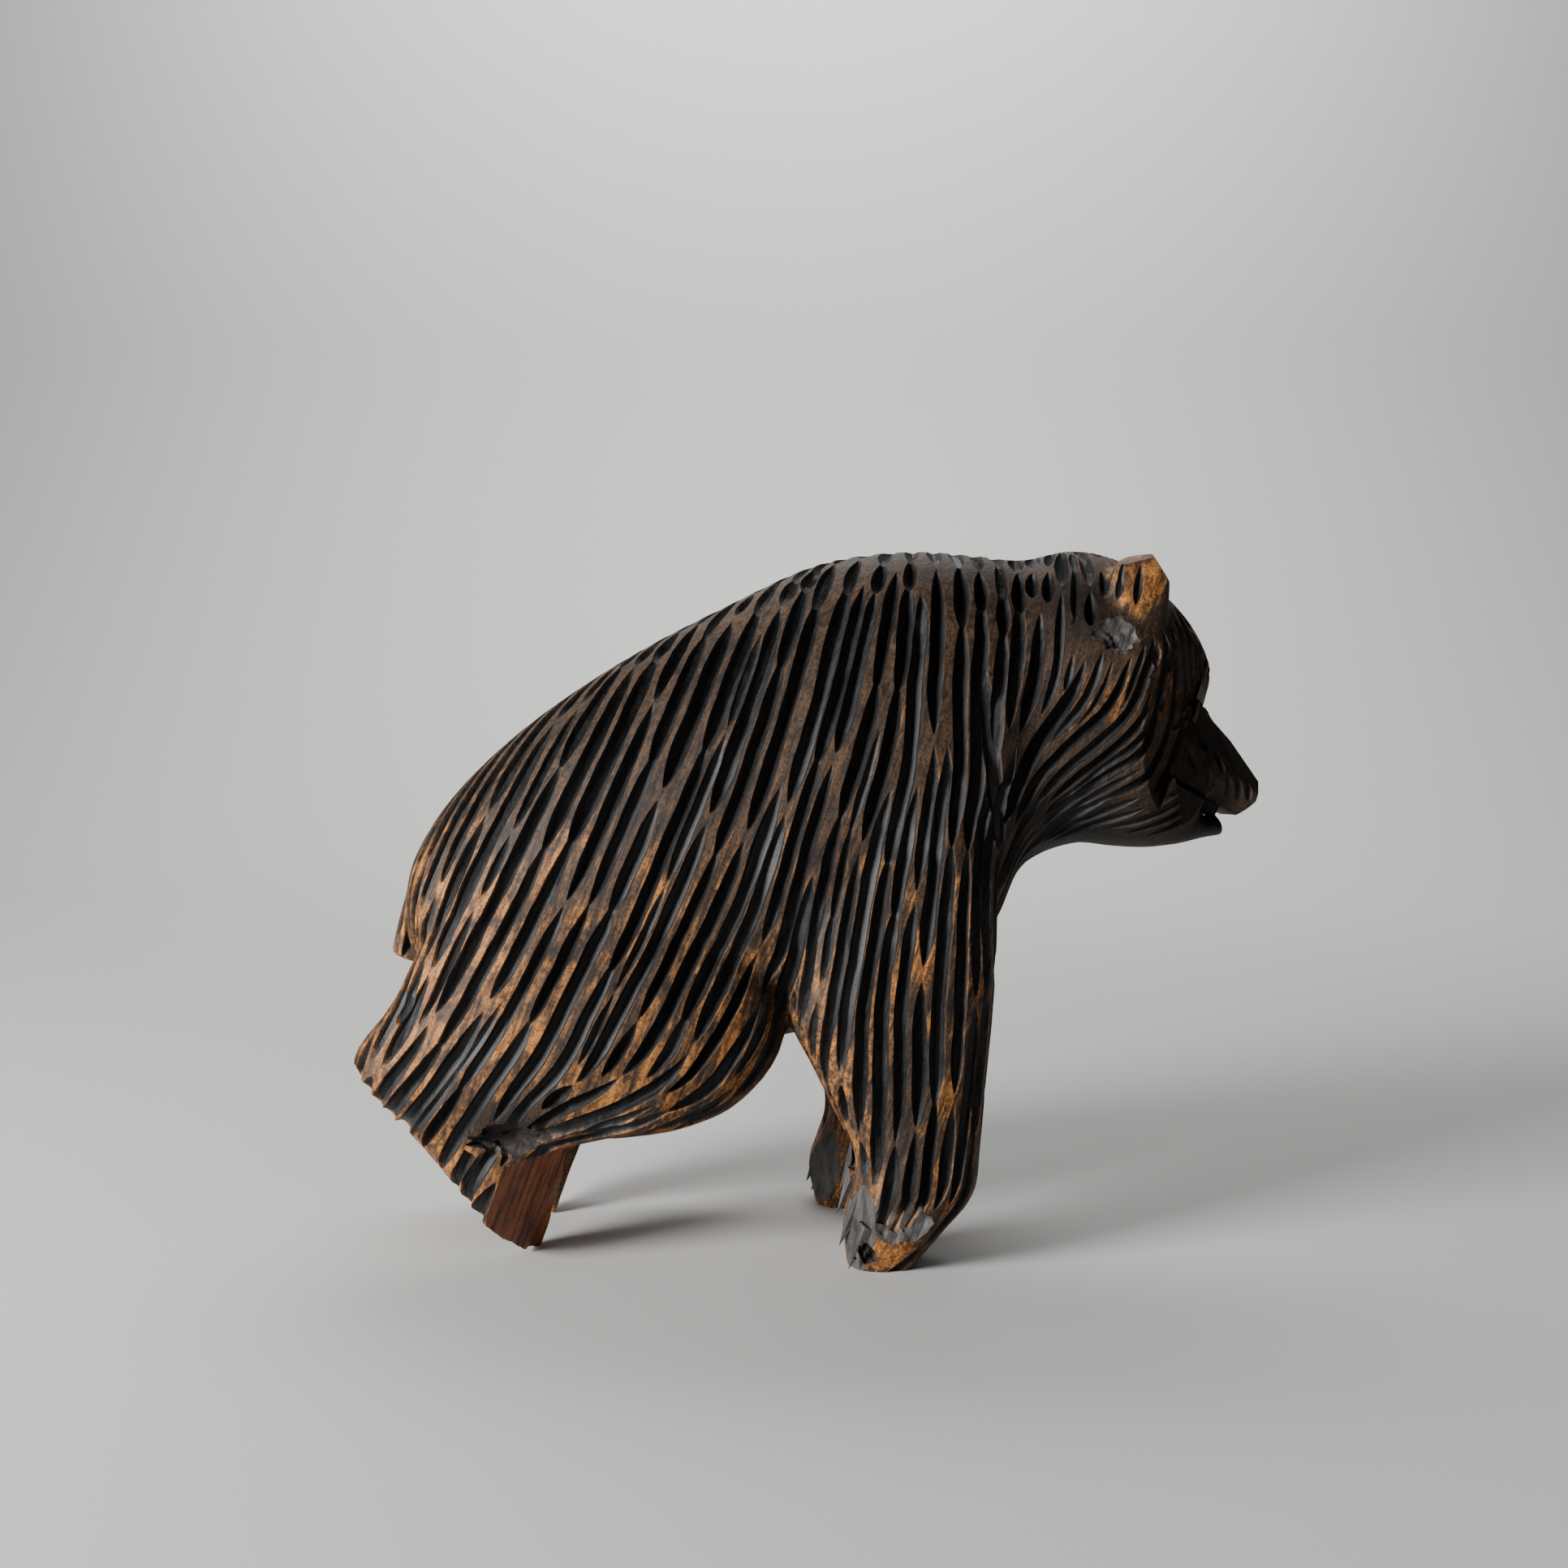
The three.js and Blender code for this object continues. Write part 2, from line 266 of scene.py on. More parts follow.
FORELEG = (
    Rib((48, 142), (16, 136), 12, 25),
    Rib((52.6, 104), (2, 96), 16, 26.2),
    Rib((52.4, 78), (1, 61), 17, 27.5),
    Rib((51.2, 60), (7, 48), 16.5, 28),
    Rib((49.6, 44), (12.5, 37), 15.5, 28),
    Rib((48.2, 29), (17.5, 26), 15, 28),
    Rib((46.6, 18), (17, 19), 15, 28.5),
    Rib((39, 8.5), (14.6, 11), 14, 28.5),
    Rib((31, -1.5), (15.4, -0.5), 9, 28.5),
)
HIND_LEG = (
    Rib((-26, 108), (-68, 110), 12, 18.5),
    Rib((-6, 84), (-83, 91), 16.5, 25),
    Rib((0, 55), (-91, 75), 19, 27),
    Rib((-10, 40), (-97, 63), 18.5, 27.5),
    Rib((-24, 33.2), (-105.6, 51), 17, 27.5),
    Rib((-42, 30.4), (-104.6, 43), 15.5, 27),
    Rib((-53, 27.4), (-93, 33), 14, 26.5),
    Rib((-55, 18), (-84, 23), 13.5, 26),
    Rib((-57, 6), (-76, 13), 13, 26),
    Rib((-59, -3), (-70, 4), 12, 26),
)
FAR_FOREPAW_BACK = (0.0, 0.0, 0.0, 0.0, 2.0, 6.0, 7.5, 7.6, 6.4)
EAR = (
    Rib((79.5, 155), (96, 153), 7.5, 19.5),
    Rib((80.5, 164), (96.4, 163), 6.5, 21.5),
    Rib((82, 170.5), (96.2, 170), 5.6, 22.5),
    Rib((85.5, 175.6), (93, 175.4), 3.4, 23),
)


def moved_back(ribs: Sequence[Rib], steps: Sequence[float]) -> list[Rib]:
    """Move ribs towards the tail.

    Args:
        ribs: The sections of a form.
        steps: How far each one moves.

    Returns:
        The moved sections.
    """
    return [
        Rib((rib.top[0] - step, rib.top[1]), (rib.bottom[0] - step, rib.bottom[1]), rib.half, rib.out)
        for rib, step in zip(ribs, steps)
    ]


@dataclass(frozen=True)
class Cut:
    """A flat saw or chisel cut: a point of its plane and the direction of the waste wood."""

    point: tuple[float, float, float]
    waste: tuple[float, float, float]

    def plane(self) -> tuple[Vector, Vector]:
        """Give the cut's point and waste direction as they stand."""
        return row_point(*self.point), Vector(self.waste).normalized()

    def on(self, side: Side) -> tuple[Vector, Vector]:
        """Give the cut's point and waste direction on one side of the bear."""
        mirror = 1.0 if side is Side.NEAR else -1.0
        x, y, z = self.point
        waste = Vector((self.waste[0], self.waste[1] * mirror, self.waste[2]))
        return row_point(x, y * mirror, z), waste.normalized()


def drop(piece: bpy.types.Object) -> None:
    """Delete a piece that has done its work."""
    mesh = piece.data
    bpy.data.objects.remove(piece)
    bpy.data.meshes.remove(mesh)


def combine(piece: bpy.types.Object, tool: bpy.types.Object, operation: str) -> None:
    """Cut a closed tool shape out of a piece, or join it on, and drop the tool.

    Args:
        piece: The object that is changed.
        tool: The closed mesh that is taken away or added.
        operation: DIFFERENCE or UNION.
    """
    before = len(piece.data.vertices)
    apply_modifier(piece, "BOOLEAN", operation=operation, object=tool, solver="MANIFOLD")
    if len(piece.data.vertices) in (0, before):
        LOG.warning("%s: %s by %s changed nothing", piece.name, operation, tool.name)
    drop(tool)


def cut_away(piece: bpy.types.Object, tool: bpy.types.Object) -> None:
    """Take a closed tool shape out of a piece and drop the tool."""
    combine(piece, tool, "DIFFERENCE")


TRIM_LENGTH = 400.0


def trim(tool: bpy.types.Object, point: Vector, waste: Vector) -> None:
    """Cut a closed tool shape off at a plane.

    Args:
        tool: The shape that is cut.
        point: A point of the plane.
        waste: The direction of what is dropped.
    """
    block = plane_block(point, waste, TRIM_LENGTH)
    apply_modifier(tool, "BOOLEAN", operation="DIFFERENCE", object=block, solver="MANIFOLD")
    drop(block)


def plane_block(point: Vector, waste: Vector, side_length: float, cuts: int = 2) -> bpy.types.Object:
    """Make a block whose foot lies on a cut and that reaches into the waste.

    Args:
        point: A point of the cut.
        waste: The direction away from the wood that stays.
        side_length: The length of the block's sides, in millimetres.
        cuts: How finely the foot is divided.

    Returns:
        The block.
    """
    bpy.ops.object.select_all(action="DESELECT")
    size = side_length * MM
    bpy.ops.mesh.primitive_grid_add(x_subdivisions=cuts, y_subdivisions=cuts, size=size)
    block = bpy.context.object
    bpy.ops.object.mode_set(mode="EDIT")
    bpy.ops.mesh.select_all(action="SELECT")
    bpy.ops.mesh.extrude_region_move(TRANSFORM_OT_translate={"value": (0.0, 0.0, size)})
    bpy.ops.object.mode_set(mode="OBJECT")
    block.data.transform(Matrix.Translation(point) @ waste.to_track_quat("Z", "Y").to_matrix().to_4x4())
    recalculate_normals(block)
    return block


def share_slots(piece: bpy.types.Object, finish: Finish, slots: Sequence[bpy.types.Material]) -> None:
    """Give a piece every slot of the bear, with all its faces in one of them."""
    piece.data.materials.clear()
    for material in slots:
        piece.data.materials.append(material)
    piece.data.polygons.foreach_set("material_index", [finish.value] * len(piece.data.polygons))


@dataclass
class Blank:
    """The roughed-out bear, before any fur is cut."""

    voxel: float = 1.0
    smoothing: int = 4
    kept_share: float = 0.1
    leg_square: float = 2.5
    back_taper: float = 0.08

    def build(self, slots: Sequence[bpy.types.Material]) -> bpy.types.Object:
        """Join the forms into one closed and softly blended block.

        Args:
            slots: The materials of the bear.

        Returns:
            The blank.
        """
        skins = [
            Form(BODY, square=2.3, taper=self.back_taper).skin("bear"),
            Form(UPPER_JAW, square=2.3).skin("upper_jaw"),
            Form(LOWER_JAW, square=2.3).skin("lower_jaw"),
            Form(TAIL, square=2.3).skin("tail"),
        ]
        for side in Side:
            foreleg = FORELEG if side is Side.NEAR else moved_back(FORELEG, FAR_FOREPAW_BACK)
            skins.append(Form(foreleg, side, self.leg_square).skin("foreleg"))
            skins.append(Form(HIND_LEG, side, self.leg_square).skin("hind_leg"))
            skins.append(Form(EAR, side, self.leg_square).skin("ear"))
        only(skins[0])
        for skin in skins[1:]:
            skin.select_set(True)
        bpy.ops.object.join()
        blank = bpy.context.object
        apply_modifier(blank, "REMESH", mode="VOXEL", voxel_size=self.voxel * MM)
        apply_modifier(blank, "SMOOTH", factor=0.5, iterations=self.smoothing)
        apply_modifier(blank, "DECIMATE", ratio=self.kept_share)
        share_slots(blank, Finish.CARVED, slots)
        return blank


@dataclass(frozen=True)
class Fibres:
    """The raised fibres of wood that broke along its grain."""

    width: float
    length: float
    depth: float
    lean: float

    def rise(self, point: Vector) -> float:
        """Give the height of the fibres at a point, in metres."""
        lean = math.radians(self.lean)
        x, y, z = (part / MM for part in point)
        along = z * math.cos(lean) + x * math.sin(lean)
        across = x * math.cos(lean) - z * math.sin(lean)
        fine = Vector((across / self.width, y / self.width, along / self.length))
        coarse = Vector((across / 3.2 / self.width, y / 3.2 / self.width, along / 1.7 / self.length))
        return (noise.noise(fine) * 0.6 + noise.noise(coarse)) * self.depth * MM


def rough_lump(name: str, place: Sequence[float], size: Sequence[float], rough: float = 0.35) -> bpy.types.Object:
    """Make a ragged lump that leaves a torn hollow.

    Args:
        name: The lump's name.
        place: Its middle in the side drawing.
        size: Its half sizes.
        rough: How ragged it is.

    Returns:
        The lump.
    """
    bpy.ops.object.select_all(action="DESELECT")
    bpy.ops.mesh.primitive_ico_sphere_add(subdivisions=4, radius=1.0)
    lump = bpy.context.object
    lump.name = name
    for vertex in lump.data.vertices:
        ragged = 1.0 + rough * noise.noise(vertex.co * 2.6) + rough * 0.35 * noise.noise(vertex.co * 7.0)
        vertex.co = row_point(*(Vector(place) + vertex.co * ragged * Vector(size)))
    return lump


@dataclass
class Feet:
    """The floor flat, the soles, the split toes and the torn pocket by the near ankle."""

    sole: Cut = Cut((-84, -35, 24.5), (-0.76, -0.09, -0.65))
    split: Cut = Cut((-62.9, -25, 13), (0.79, -0.51, -0.34))
    ankle: Cut = Cut((-60, 0, 27.5), (-0.25, 0, 0.97))
    floor_size: float = 400.0
    sole_size: float = 90.0
    split_size: float = 52.0
    fibres: Fibres = Fibres(1.7, 24.0, 1.5, 22.0)
    pocket_place: tuple[float, float, float] = (-65.5, -41.5, 32.5)
    pocket_size: tuple[float, float, float] = (9.5, 4.4, 4.0)

    def split_block(self, side: Side) -> bpy.types.Object:
        """Make the ragged block that takes the split toes off one hind foot."""
        point, waste = self.split.on(side)
        block = plane_block(point, waste, self.split_size, cuts=44)
        for vertex in block.data.vertices:
            if abs((vertex.co - point).dot(waste)) < 0.5 * MM:
                vertex.co += waste * self.fibres.rise(vertex.co)
        trim(block, *self.ankle.on(side))
        return block

    def cut(self, blank: bpy.types.Object, slots: Sequence[bpy.types.Material]) -> None:
        """Cut both pairs of feet.

        Args:
            blank: The roughed-out bear.
            slots: The materials of the bear.
        """
        floor = plane_block(Vector(), Vector((0, 0, -1)), self.floor_size)
        share_slots(floor, Finish.PALM, slots)
        cut_away(blank, floor)
        for side in Side:
            sole = plane_block(*self.sole.on(side), self.sole_size)
            share_slots(sole, Finish.PALM, slots)
            trim(sole, Vector(), Vector((0, -side.value, 0)))
            cut_away(blank, sole)
            split = self.split_block(side)
            share_slots(split, Finish.SPLIT, slots)
            trim(split, Vector(), Vector((0, -side.value, 0)))
            cut_away(blank, split)
        # The pocket's walls take the near-black painted shade.
        pocket = rough_lump("pocket", self.pocket_place, self.pocket_size)
        share_slots(pocket, Finish.TORN, slots)
        cut_away(blank, pocket)


@dataclass
class Muzzle:
    """The chiselled muzzle, with the open slit between the jaws."""

    lips: tuple[float, float] = (117.5, 108.6)
    corner: tuple[float, float] = (95.6, 120.4)
    gape: float = 1.7
    corner_gape: float = 1.2
    half: float = 30.0
    past_lips: float = 1.5
    middle_cuts: tuple[Cut, ...] = (
        Cut((115.4, 0, 129.9), (0.806, 0, 0.592)),
        Cut((121.9, 0, 119.7), (0.847, 0, 0.532)),
        Cut((122.2, 0, 115.7), (0.97, 0, -0.243)),
        Cut((119.9, 0, 111.6), (0.668, 0, -0.744)),
    )
    forehead: Cut = Cut((110, 0, 140.6), (0.96, 0, -0.28))
    chin: Cut = Cut((113.4, 0, 107), (0.96, 0, 0.2))
    side_cuts: tuple[Cut, ...] = (
        Cut((109, -15.6, 122), (0.30, -0.95, 0.06)),
        Cut((112.1, -8.3, 132.0), (0.521, -0.707, 0.46)),
    )
    block_size: float = 60.0
    cheek_edge: Cut = Cut((102, 0, 132), (-1, 0, 0.4))
    brow: Cut = Cut((109.3, 0, 138.2), (0.3, 0, 1))
    cheek: Cut = Cut((101.5, -17.6, 130.5), (0.72, -0.69, -0.07))
    temples: tuple[Cut, ...] = (
        Cut((106, -16.0, 141), (0.6, -0.75, -0.28)),
        Cut((108.4, -10.0, 141), (0.88, -0.42, -0.22)),
    )
    overlap: float = 0.5
    jaw: Cut = Cut((106, -16.0, 108), (0.22, -0.97, -0.1))
    jaw_edge: Cut = Cut((100, 0, 110), (-1, 0, -0.35))
    tongue_half: float = 6.5
    tongue_reach: float = 0.8
    tongue_extra: float = 2.0

    def wedge(self, name: str, half: float, reach: float, extra: float) -> bpy.types.Object:
        """Make a wedge along the mouth, from its corner towards the lips.

        Args:
            name: The wedge's name.
            half: Half its width.
            reach: How far it goes, where 1 is the way to the lips.
            extra: How much thicker than the open mouth it is.

        Returns:
            The wedge.
        """
        bpy.ops.object.select_all(action="DESELECT")
        bpy.ops.mesh.primitive_cube_add(size=2.0)
        wedge = bpy.context.object
        wedge.name = name
        along = Vector((self.lips[0] - self.corner[0], 0, self.lips[1] - self.corner[1]))
        upward = Vector((-along.z, 0, along.x)).normalized()
        for vertex in wedge.data.vertices:
            share = reach if vertex.co.x > 0 else 0.0
            gape = self.corner_gape + (self.gape - self.corner_gape) * share + extra
            place = Vector((self.corner[0], 0, self.corner[1])) + along * share
            place += upward * (vertex.co.z * gape / 2)
            vertex.co = row_point(place.x, vertex.co.y * half, place.z)
        recalculate_normals(wedge)
        return wedge

    def flats(self) -> Iterator[bpy.types.Object]:
        """Make the blocks that the chisel takes off the muzzle and the sides of the lower jaw.

        Returns:
            The blocks, one after the other.
        """
        mouth_line = Vector((self.corner[1] - self.lips[1], 0, self.lips[0] - self.corner[0])).normalized()
        lips = row_point(self.lips[0], 0, self.lips[1])
        for cut in self.middle_cuts:
            block = plane_block(*cut.plane(), self.block_size)
            trim(block, *self.cheek_edge.plane())
            trim(block, *self.brow.plane())
            trim(block, lips, -mouth_line)
            yield block
        brow_place, above_brow = self.brow.plane()
        brow_place = brow_place - above_brow * self.overlap * MM
        forehead = plane_block(*self.forehead.plane(), self.block_size)
        trim(forehead, brow_place, -above_brow)
        yield forehead
        chin = plane_block(*self.chin.plane(), self.block_size)
        trim(chin, lips, mouth_line)
        yield chin
        for side in Side:
            for cut in self.side_cuts:
                block = plane_block(*cut.on(side), self.block_size)
                trim(block, *self.cheek_edge.plane())
                trim(block, *self.brow.plane())
                trim(block, lips, -mouth_line)
                yield block
            jaw = plane_block(*self.jaw.on(side), self.block_size)
            trim(jaw, *self.jaw_edge.plane())
            trim(jaw, lips, mouth_line)
            yield jaw
            edge_place, behind_edge = self.cheek_edge.plane()
            cheek = plane_block(*self.cheek.on(side), self.block_size)
            trim(cheek, edge_place, -behind_edge)
            yield cheek
            for cut in self.temples:
                temple = plane_block(*cut.on(side), self.block_size)
                trim(temple, brow_place, -above_brow)
                yield temple

    def cut(self, blank: bpy.types.Object, slots: Sequence[bpy.types.Material]) -> None:
        """Cut the flats and the slit, with the wood left standing inside it.

        Args:
            blank: The roughed-out bear.
            slots: The materials of the bear.
        """
        for block in self.flats():
            share_slots(block, Finish.CARVED, slots)
            cut_away(blank, block)
        slit = self.wedge("mouth", self.half, self.past_lips, 0.0)
        share_slots(slit, Finish.CARVED, slots)
        cut_away(blank, slit)
        # The wood left inside the mouth takes the near-black painted shade.
        tongue = self.wedge("tongue", self.tongue_half, self.tongue_reach, self.tongue_extra)
        share_slots(tongue, Finish.TORN, slots)
        combine(blank, tongue, "UNION")


@dataclass
class Ears:
    """The chiselled faces of the ears, and the torn grey scar under the near one."""

    faces: tuple[Cut, ...] = (
        Cut((88, -27.0, 166), (0.05, -0.98, 0.18)),
        Cut((88, -23.0, 174.0), (-0.2, -0.35, 0.92)),
        Cut((94.8, -23.0, 171.0), (0.8, -0.3, 0.5)),
    )
    block_size: float = 17.0
    lowest: Cut = Cut((88, -22.0, 160.0), (0.0, 0.2, -1.0))
    innermost: Cut = Cut((88, -14.0, 166.0), (0.0, 1.0, 0.0))
    scar_place: tuple[float, float, float] = (82.6, -30.6, 156.4)
    scar_size: tuple[float, float, float] = (6.2, 2.4, 7.0)

    def cut(self, blank: bpy.types.Object, slots: Sequence[bpy.types.Material]) -> None:
        """Cut the ears.

        Args:
            blank: The roughed-out bear.
            slots: The materials of the bear.
        """
        for side in Side:
            for face in self.faces:
                block = plane_block(*face.on(side), self.block_size)
                trim(block, *self.lowest.on(side))
                trim(block, *self.innermost.on(side))
                share_slots(block, Finish.CARVED, slots)
                cut_away(blank, block)
        scar = rough_lump("scar", self.scar_place, self.scar_size, 0.4)
        share_slots(scar, Finish.PALM, slots)
        cut_away(blank, scar)


@dataclass(frozen=True)
class Guide:
    """How the fur lies at one place of the side view: its lean back from straight down, in degrees."""

    x: float
    z: float
    lean: float


FUR_GUIDES = (
    Guide(-78.5, 121, 30),
    Guide(-86, 82, 27),
    Guide(-94, 59, 32),
    Guide(-60, 132, 26),
    Guide(-32, 146, 20),
    Guide(-32, 101, 22),
    Guide(-22, 63, 25),
    Guide(16, 165, 14),
    Guide(16, 121, 17),
    Guide(14, 82, 10),
    Guide(28, 53, 0),
    Guide(32, 26, 5),
    Guide(36, 12, 38),
    Guide(41, 165, 3),
    Guide(42, 130, 0),
    Guide(45, 99, 5),
    Guide(53, 82, -2),
    Guide(-48, 92, 25),
    Guide(-48, 63, 25),
    Guide(-12, 56, 34),
    Guide(-24, 38, 66),
    Guide(-46, 34, 68),
    Guide(-70, 36, 32),
    Guide(-94, 48, 42),
    Guide(92, 145, 25),
    Guide(76, 125, 48),
    Guide(88, 119, 58),
    Guide(60, 101, 35),
    Guide(68, 159, 5),
    Guide(100, 150, -24),
    Guide(88, 174, 0),
)


@dataclass(frozen=True)
class Patch:
    """An oval of the side view that the fur gouge leaves alone."""

    x: float
    z: float
    half_width: float
    half_height: float

    def holds(self, x: float, z: float) -> bool:
        """Tell whether a place of the side view lies in the oval."""
        return ((x - self.x) / self.half_width) ** 2 + ((z - self.z) / self.half_height) ** 2 < 1


BARE_PATCHES = (
    Patch(88, 167, 10, 12),
    Patch(73, 153, 5, 3.5),
    Patch(83, 156, 6.5, 6.5),
    Patch(26, 7.5, 6.5, 5.5),
)


@dataclass
class Stroke:
    """One push of the gouge over the wood, pointed at an end unless it runs off the edge there."""

    places: list[Vector]
    normals: list[Vector]
    width: float
    depth: float
    finish: Finish = Finish.CARVED
    open_start: bool = False
    open_end: bool = False


@dataclass
class Line:
    """A line of the fur that several strokes follow one after the other."""

    places: list[Vector]
    normals: list[Vector]
    open_start: bool
    open_end: bool


@dataclass(frozen=True)
class Pass:
    """One going-over of the wood with a gouge: the spacing, length, width and depth of its strokes."""

    pitch: float
    closest: float
    long: tuple[float, float]
    short: tuple[float, float]
    shortest: float
    width: tuple[float, float]
    depth: tuple[float, float]


FIRST_PASS = Pass(4.6, 2.9, (30.0, 72.0), (11.0, 24.0), 10.0, (3.2, 4.1), (2.0, 2.7))
GAP_PASS = Pass(3.2, 2.5, (16.0, 40.0), (8.0, 14.0), 8.0, (2.4, 3.2), (1.2, 1.7))


@dataclass
class Comb:
    """Lays the gouge strokes of the fur evenly over the blank."""

    step: float = 2.0
    longest: float = 220.0
    run_off: int = 3
    cell_size: float = 5.0
    ridge_spread: float = 0.9
    face_fineness: float = 0.8
    back_fineness: float = 1.12
    seed: int = 11

    def __post_init__(self) -> None:
        """Start with no strokes."""
        self.random = random.Random(self.seed)
        self.now = FIRST_PASS
        self.line_count = 0
        self.cells: dict[tuple[int, int, int], list[tuple[Vector, int]]] = defaultdict(list)
        self.strokes: list[Stroke] = []
        self.guides = np.array([(guide.x, guide.z) for guide in FUR_GUIDES])
        self.leans = np.radians([guide.lean for guide in FUR_GUIDES])

    def read(self, blank: bpy.types.Object) -> None:
        """Keep the blank's surface for the gouge to follow."""
        mesh = blank.data
        corners = [vertex.co.copy() for vertex in mesh.vertices]
        self.tree = BVHTree.FromPolygons(corners, [list(face.vertices) for face in mesh.polygons])
        self.finish = [face.material_index for face in mesh.polygons]
        self.seeds = [face.center.copy() for face in mesh.polygons]

    def cell(self, place: Vector) -> tuple[int, int, int]:
        """Give the cell of the search grid that a place lies in."""
        size = self.cell_size * MM
        return math.floor(place.x / size), math.floor(place.y / size), math.floor(place.z / size)

    def crowded(self, place: Vector, room: float, own: int) -> bool:
        """Tell whether another stroke runs too close to a place.

        Args:
            place: The place on the wood.
            room: The distance that must be free, in metres.
            own: The number of the stroke that asks.

        Returns:
            True if a stroke other than the asking one is nearer.
        """
        i, j, k = self.cell(place)
        for a in (i - 1, i, i + 1):
            for b in (j - 1, j, j + 1):
                for c in (k - 1, k, k + 1):
                    for other, number in self.cells.get((a, b, c), ()):
                        if number != own and (other - place).length_squared < room * room:
                            return True
        return False

    def furred(self, place: Vector, normal: Vector, face: int) -> bool:
        """Tell whether the fur gouge cuts at a place.

        Args:
            place: The place on the wood.
            normal: The surface's direction there.
            face: The face of the blank.

        Returns:
            True where the bear has fur.
        """
        if self.finish[face] != Finish.CARVED.value:
            return False
        x, y, z = drawing_place(place)
        side = 1.0 if y > 0 else -1.0
        thin_wedge = -82 < x < -50 and z < 12
        if z < 2.5 or normal.z < -0.88 or thin_wedge:
            return False
        above_mouth = z > 120.4 - (x - 95.6) * 0.54
        on_muzzle = above_mouth and z < 141 and x > 97 + (z - 120) * 0.37
        on_jaw = x > 101 and z < 117
        on_palm = 4 < x < 30 and z < 19 and normal.x < -0.5
        facing_in = normal.y * side < -0.35 and z < 90
        if on_muzzle or on_jaw or on_palm or facing_in:
            return False
        return abs(y) < 12 or not any(patch.holds(x, z) for patch in BARE_PATCHES)

    def heading(self, place: Vector, normal: Vector) -> Vector | None:
        """Give the way of the fur on the surface.

        Args:
            place: The place on the wood.
            normal: The surface's direction there.

        Returns:
            The way along the surface, or None where it is unclear.
        """
        x, y, z = drawing_place(place)
        gap = (self.guides[:, 0] - x) ** 2 + (self.guides[:, 1] - z) ** 2
        weight = 1 / (gap + 20.0) ** 1.7
        lean = float((weight * self.leans).sum() / weight.sum())
        side = 1.0 if y > 0 else -1.0
        way = Vector((-math.sin(lean), side * self.ridge_spread * max(normal.z, 0.0), -math.cos(lean)))
        way -= normal * way.dot(normal)
        return way.normalized() if way.length > 0.2 else None

    def fineness(self, place: Vector) -> float:
        """Give the share of the usual stroke width and spacing at a place.

        Args:
            place: A place on the wood.

        Returns:
            Less than 1 on the face, and more on the back.
        """
        x, _, z = drawing_place(place)
        if x > 64:
            return self.face_fineness if z < 158 else 1.0
        return self.back_fineness if z > 118 else 1.0

    def grow(self, start: Vector, forward: bool) -> tuple[list[tuple[Vector, Vector]], bool]:
        """Follow the fur from a place until it is blocked.

        Args:
            start: The first place on the wood.
            forward: True to follow the fur, False to go against it.

        Returns:
            The places and surface directions after the first, and whether the line runs off an edge.
        """
        place, normal, face, _ = self.tree.find_nearest(start)
        side = 1.0 if place.y > 0 else -1.0
        last_way = None
        step = self.step * MM
        run: list[tuple[Vector, Vector]] = []
        while len(run) * self.step < self.longest:
            way = self.heading(place, normal)
            if way is None:
                return run, False
            way = way if forward else -way
            if last_way is not None and way.dot(last_way) < 0.75:
                return run, False
            aim = place + way * step
            after, after_normal, face, _ = self.tree.find_nearest(aim)
            turned = (after - place).length < step * 0.4 or after_normal.dot(normal) < 0.5
            if turned or not self.furred(after, after_normal, face):
                past_edge = (aim - after).dot(way) > step * 0.4 and after_normal.dot(way) > -0.3
                falls_away = past_edge or after_normal.dot(way) > 0.3 or after.z < 2.5 * MM
                if falls_away and run:
                    run.extend((place + way * step * number, normal) for number in range(1, self.run_off + 1))
                return run, falls_away
            room = self.now.closest * self.fineness(after) * MM
            if after.y * side < -1.5 * MM or self.crowded(after, room, self.line_count):
                return run, False
            place, normal, last_way = after, after_normal, way
            run.append((place, normal))
        return run, False

    def try_line(self, seed: Vector) -> Line | None:
        """Lay one line of fur through a place, if there is room.

        Args:
            seed: The place that the line should pass.

        Returns:
            The line, or None.
        """
        place, normal, face, gap = self.tree.find_nearest(seed)
        if place is None or gap > 2.0 * MM or not self.furred(place, normal, face):
            return None
        if self.crowded(place, self.now.pitch * 0.97 * self.fineness(place) * MM, self.line_count):
            return None
        ahead, open_end = self.grow(place, True)
        behind, open_start = self.grow(place, False)
        run = behind[::-1] + [(place, normal)] + ahead
        if (len(run) - 1) * self.step < self.now.shortest:
            return None
        return Line([spot for spot, _ in run], [way for _, way in run], open_start, open_end)

    def break_up(self, line: Line) -> Iterator[Stroke]:
        """Share a line out among strokes of uneven length.

        Args:
            line: The line of fur.

        Returns:
            The strokes, from the first to the last.
        """
        first, last = 0, len(line.places) - 1
        while first < last - 2:
            x, _, _ = drawing_place(line.places[first])
            on_ridge = line.normals[first].z > (0.6 if x > 44 else 0.84)
            length = self.random.uniform(*(self.now.short if on_ridge else self.now.long))
            end = first + round(length / self.step)
            if (last - end) * self.step < self.now.shortest:
                end = last
            fineness = self.fineness(line.places[(first + end) // 2])
            yield Stroke(
                line.places[first:end + 1],
                line.normals[first:end + 1],
                self.random.uniform(*self.now.width) * fineness,
                self.random.uniform(*self.now.depth) * fineness,
                open_start=line.open_start and first == 0,
                open_end=line.open_end and end == last,
            )
            first = end - self.random.randint(-1, 3)
            if end == last:
                return

    def keep(self, line: Line) -> list[Vector]:
        """Take a line in, and give the places beside it where the next ones may run.

        Args:
            line: The line to keep.

        Returns:
            The places a pitch to either side.
        """
        self.strokes.extend(self.break_up(line))
        beside = []
        for number, (place, normal) in enumerate(zip(line.places, line.normals)):
            self.cells[self.cell(place)].append((place, self.line_count))
            if number % 2:
                continue
            nearby = line.places[number - 1] if number else line.places[1]
            across = (place - nearby).cross(normal).normalized()
            aside = across * self.now.pitch * self.fineness(place) * MM
            beside.extend((place + aside, place - aside))
        self.line_count += 1
        return beside

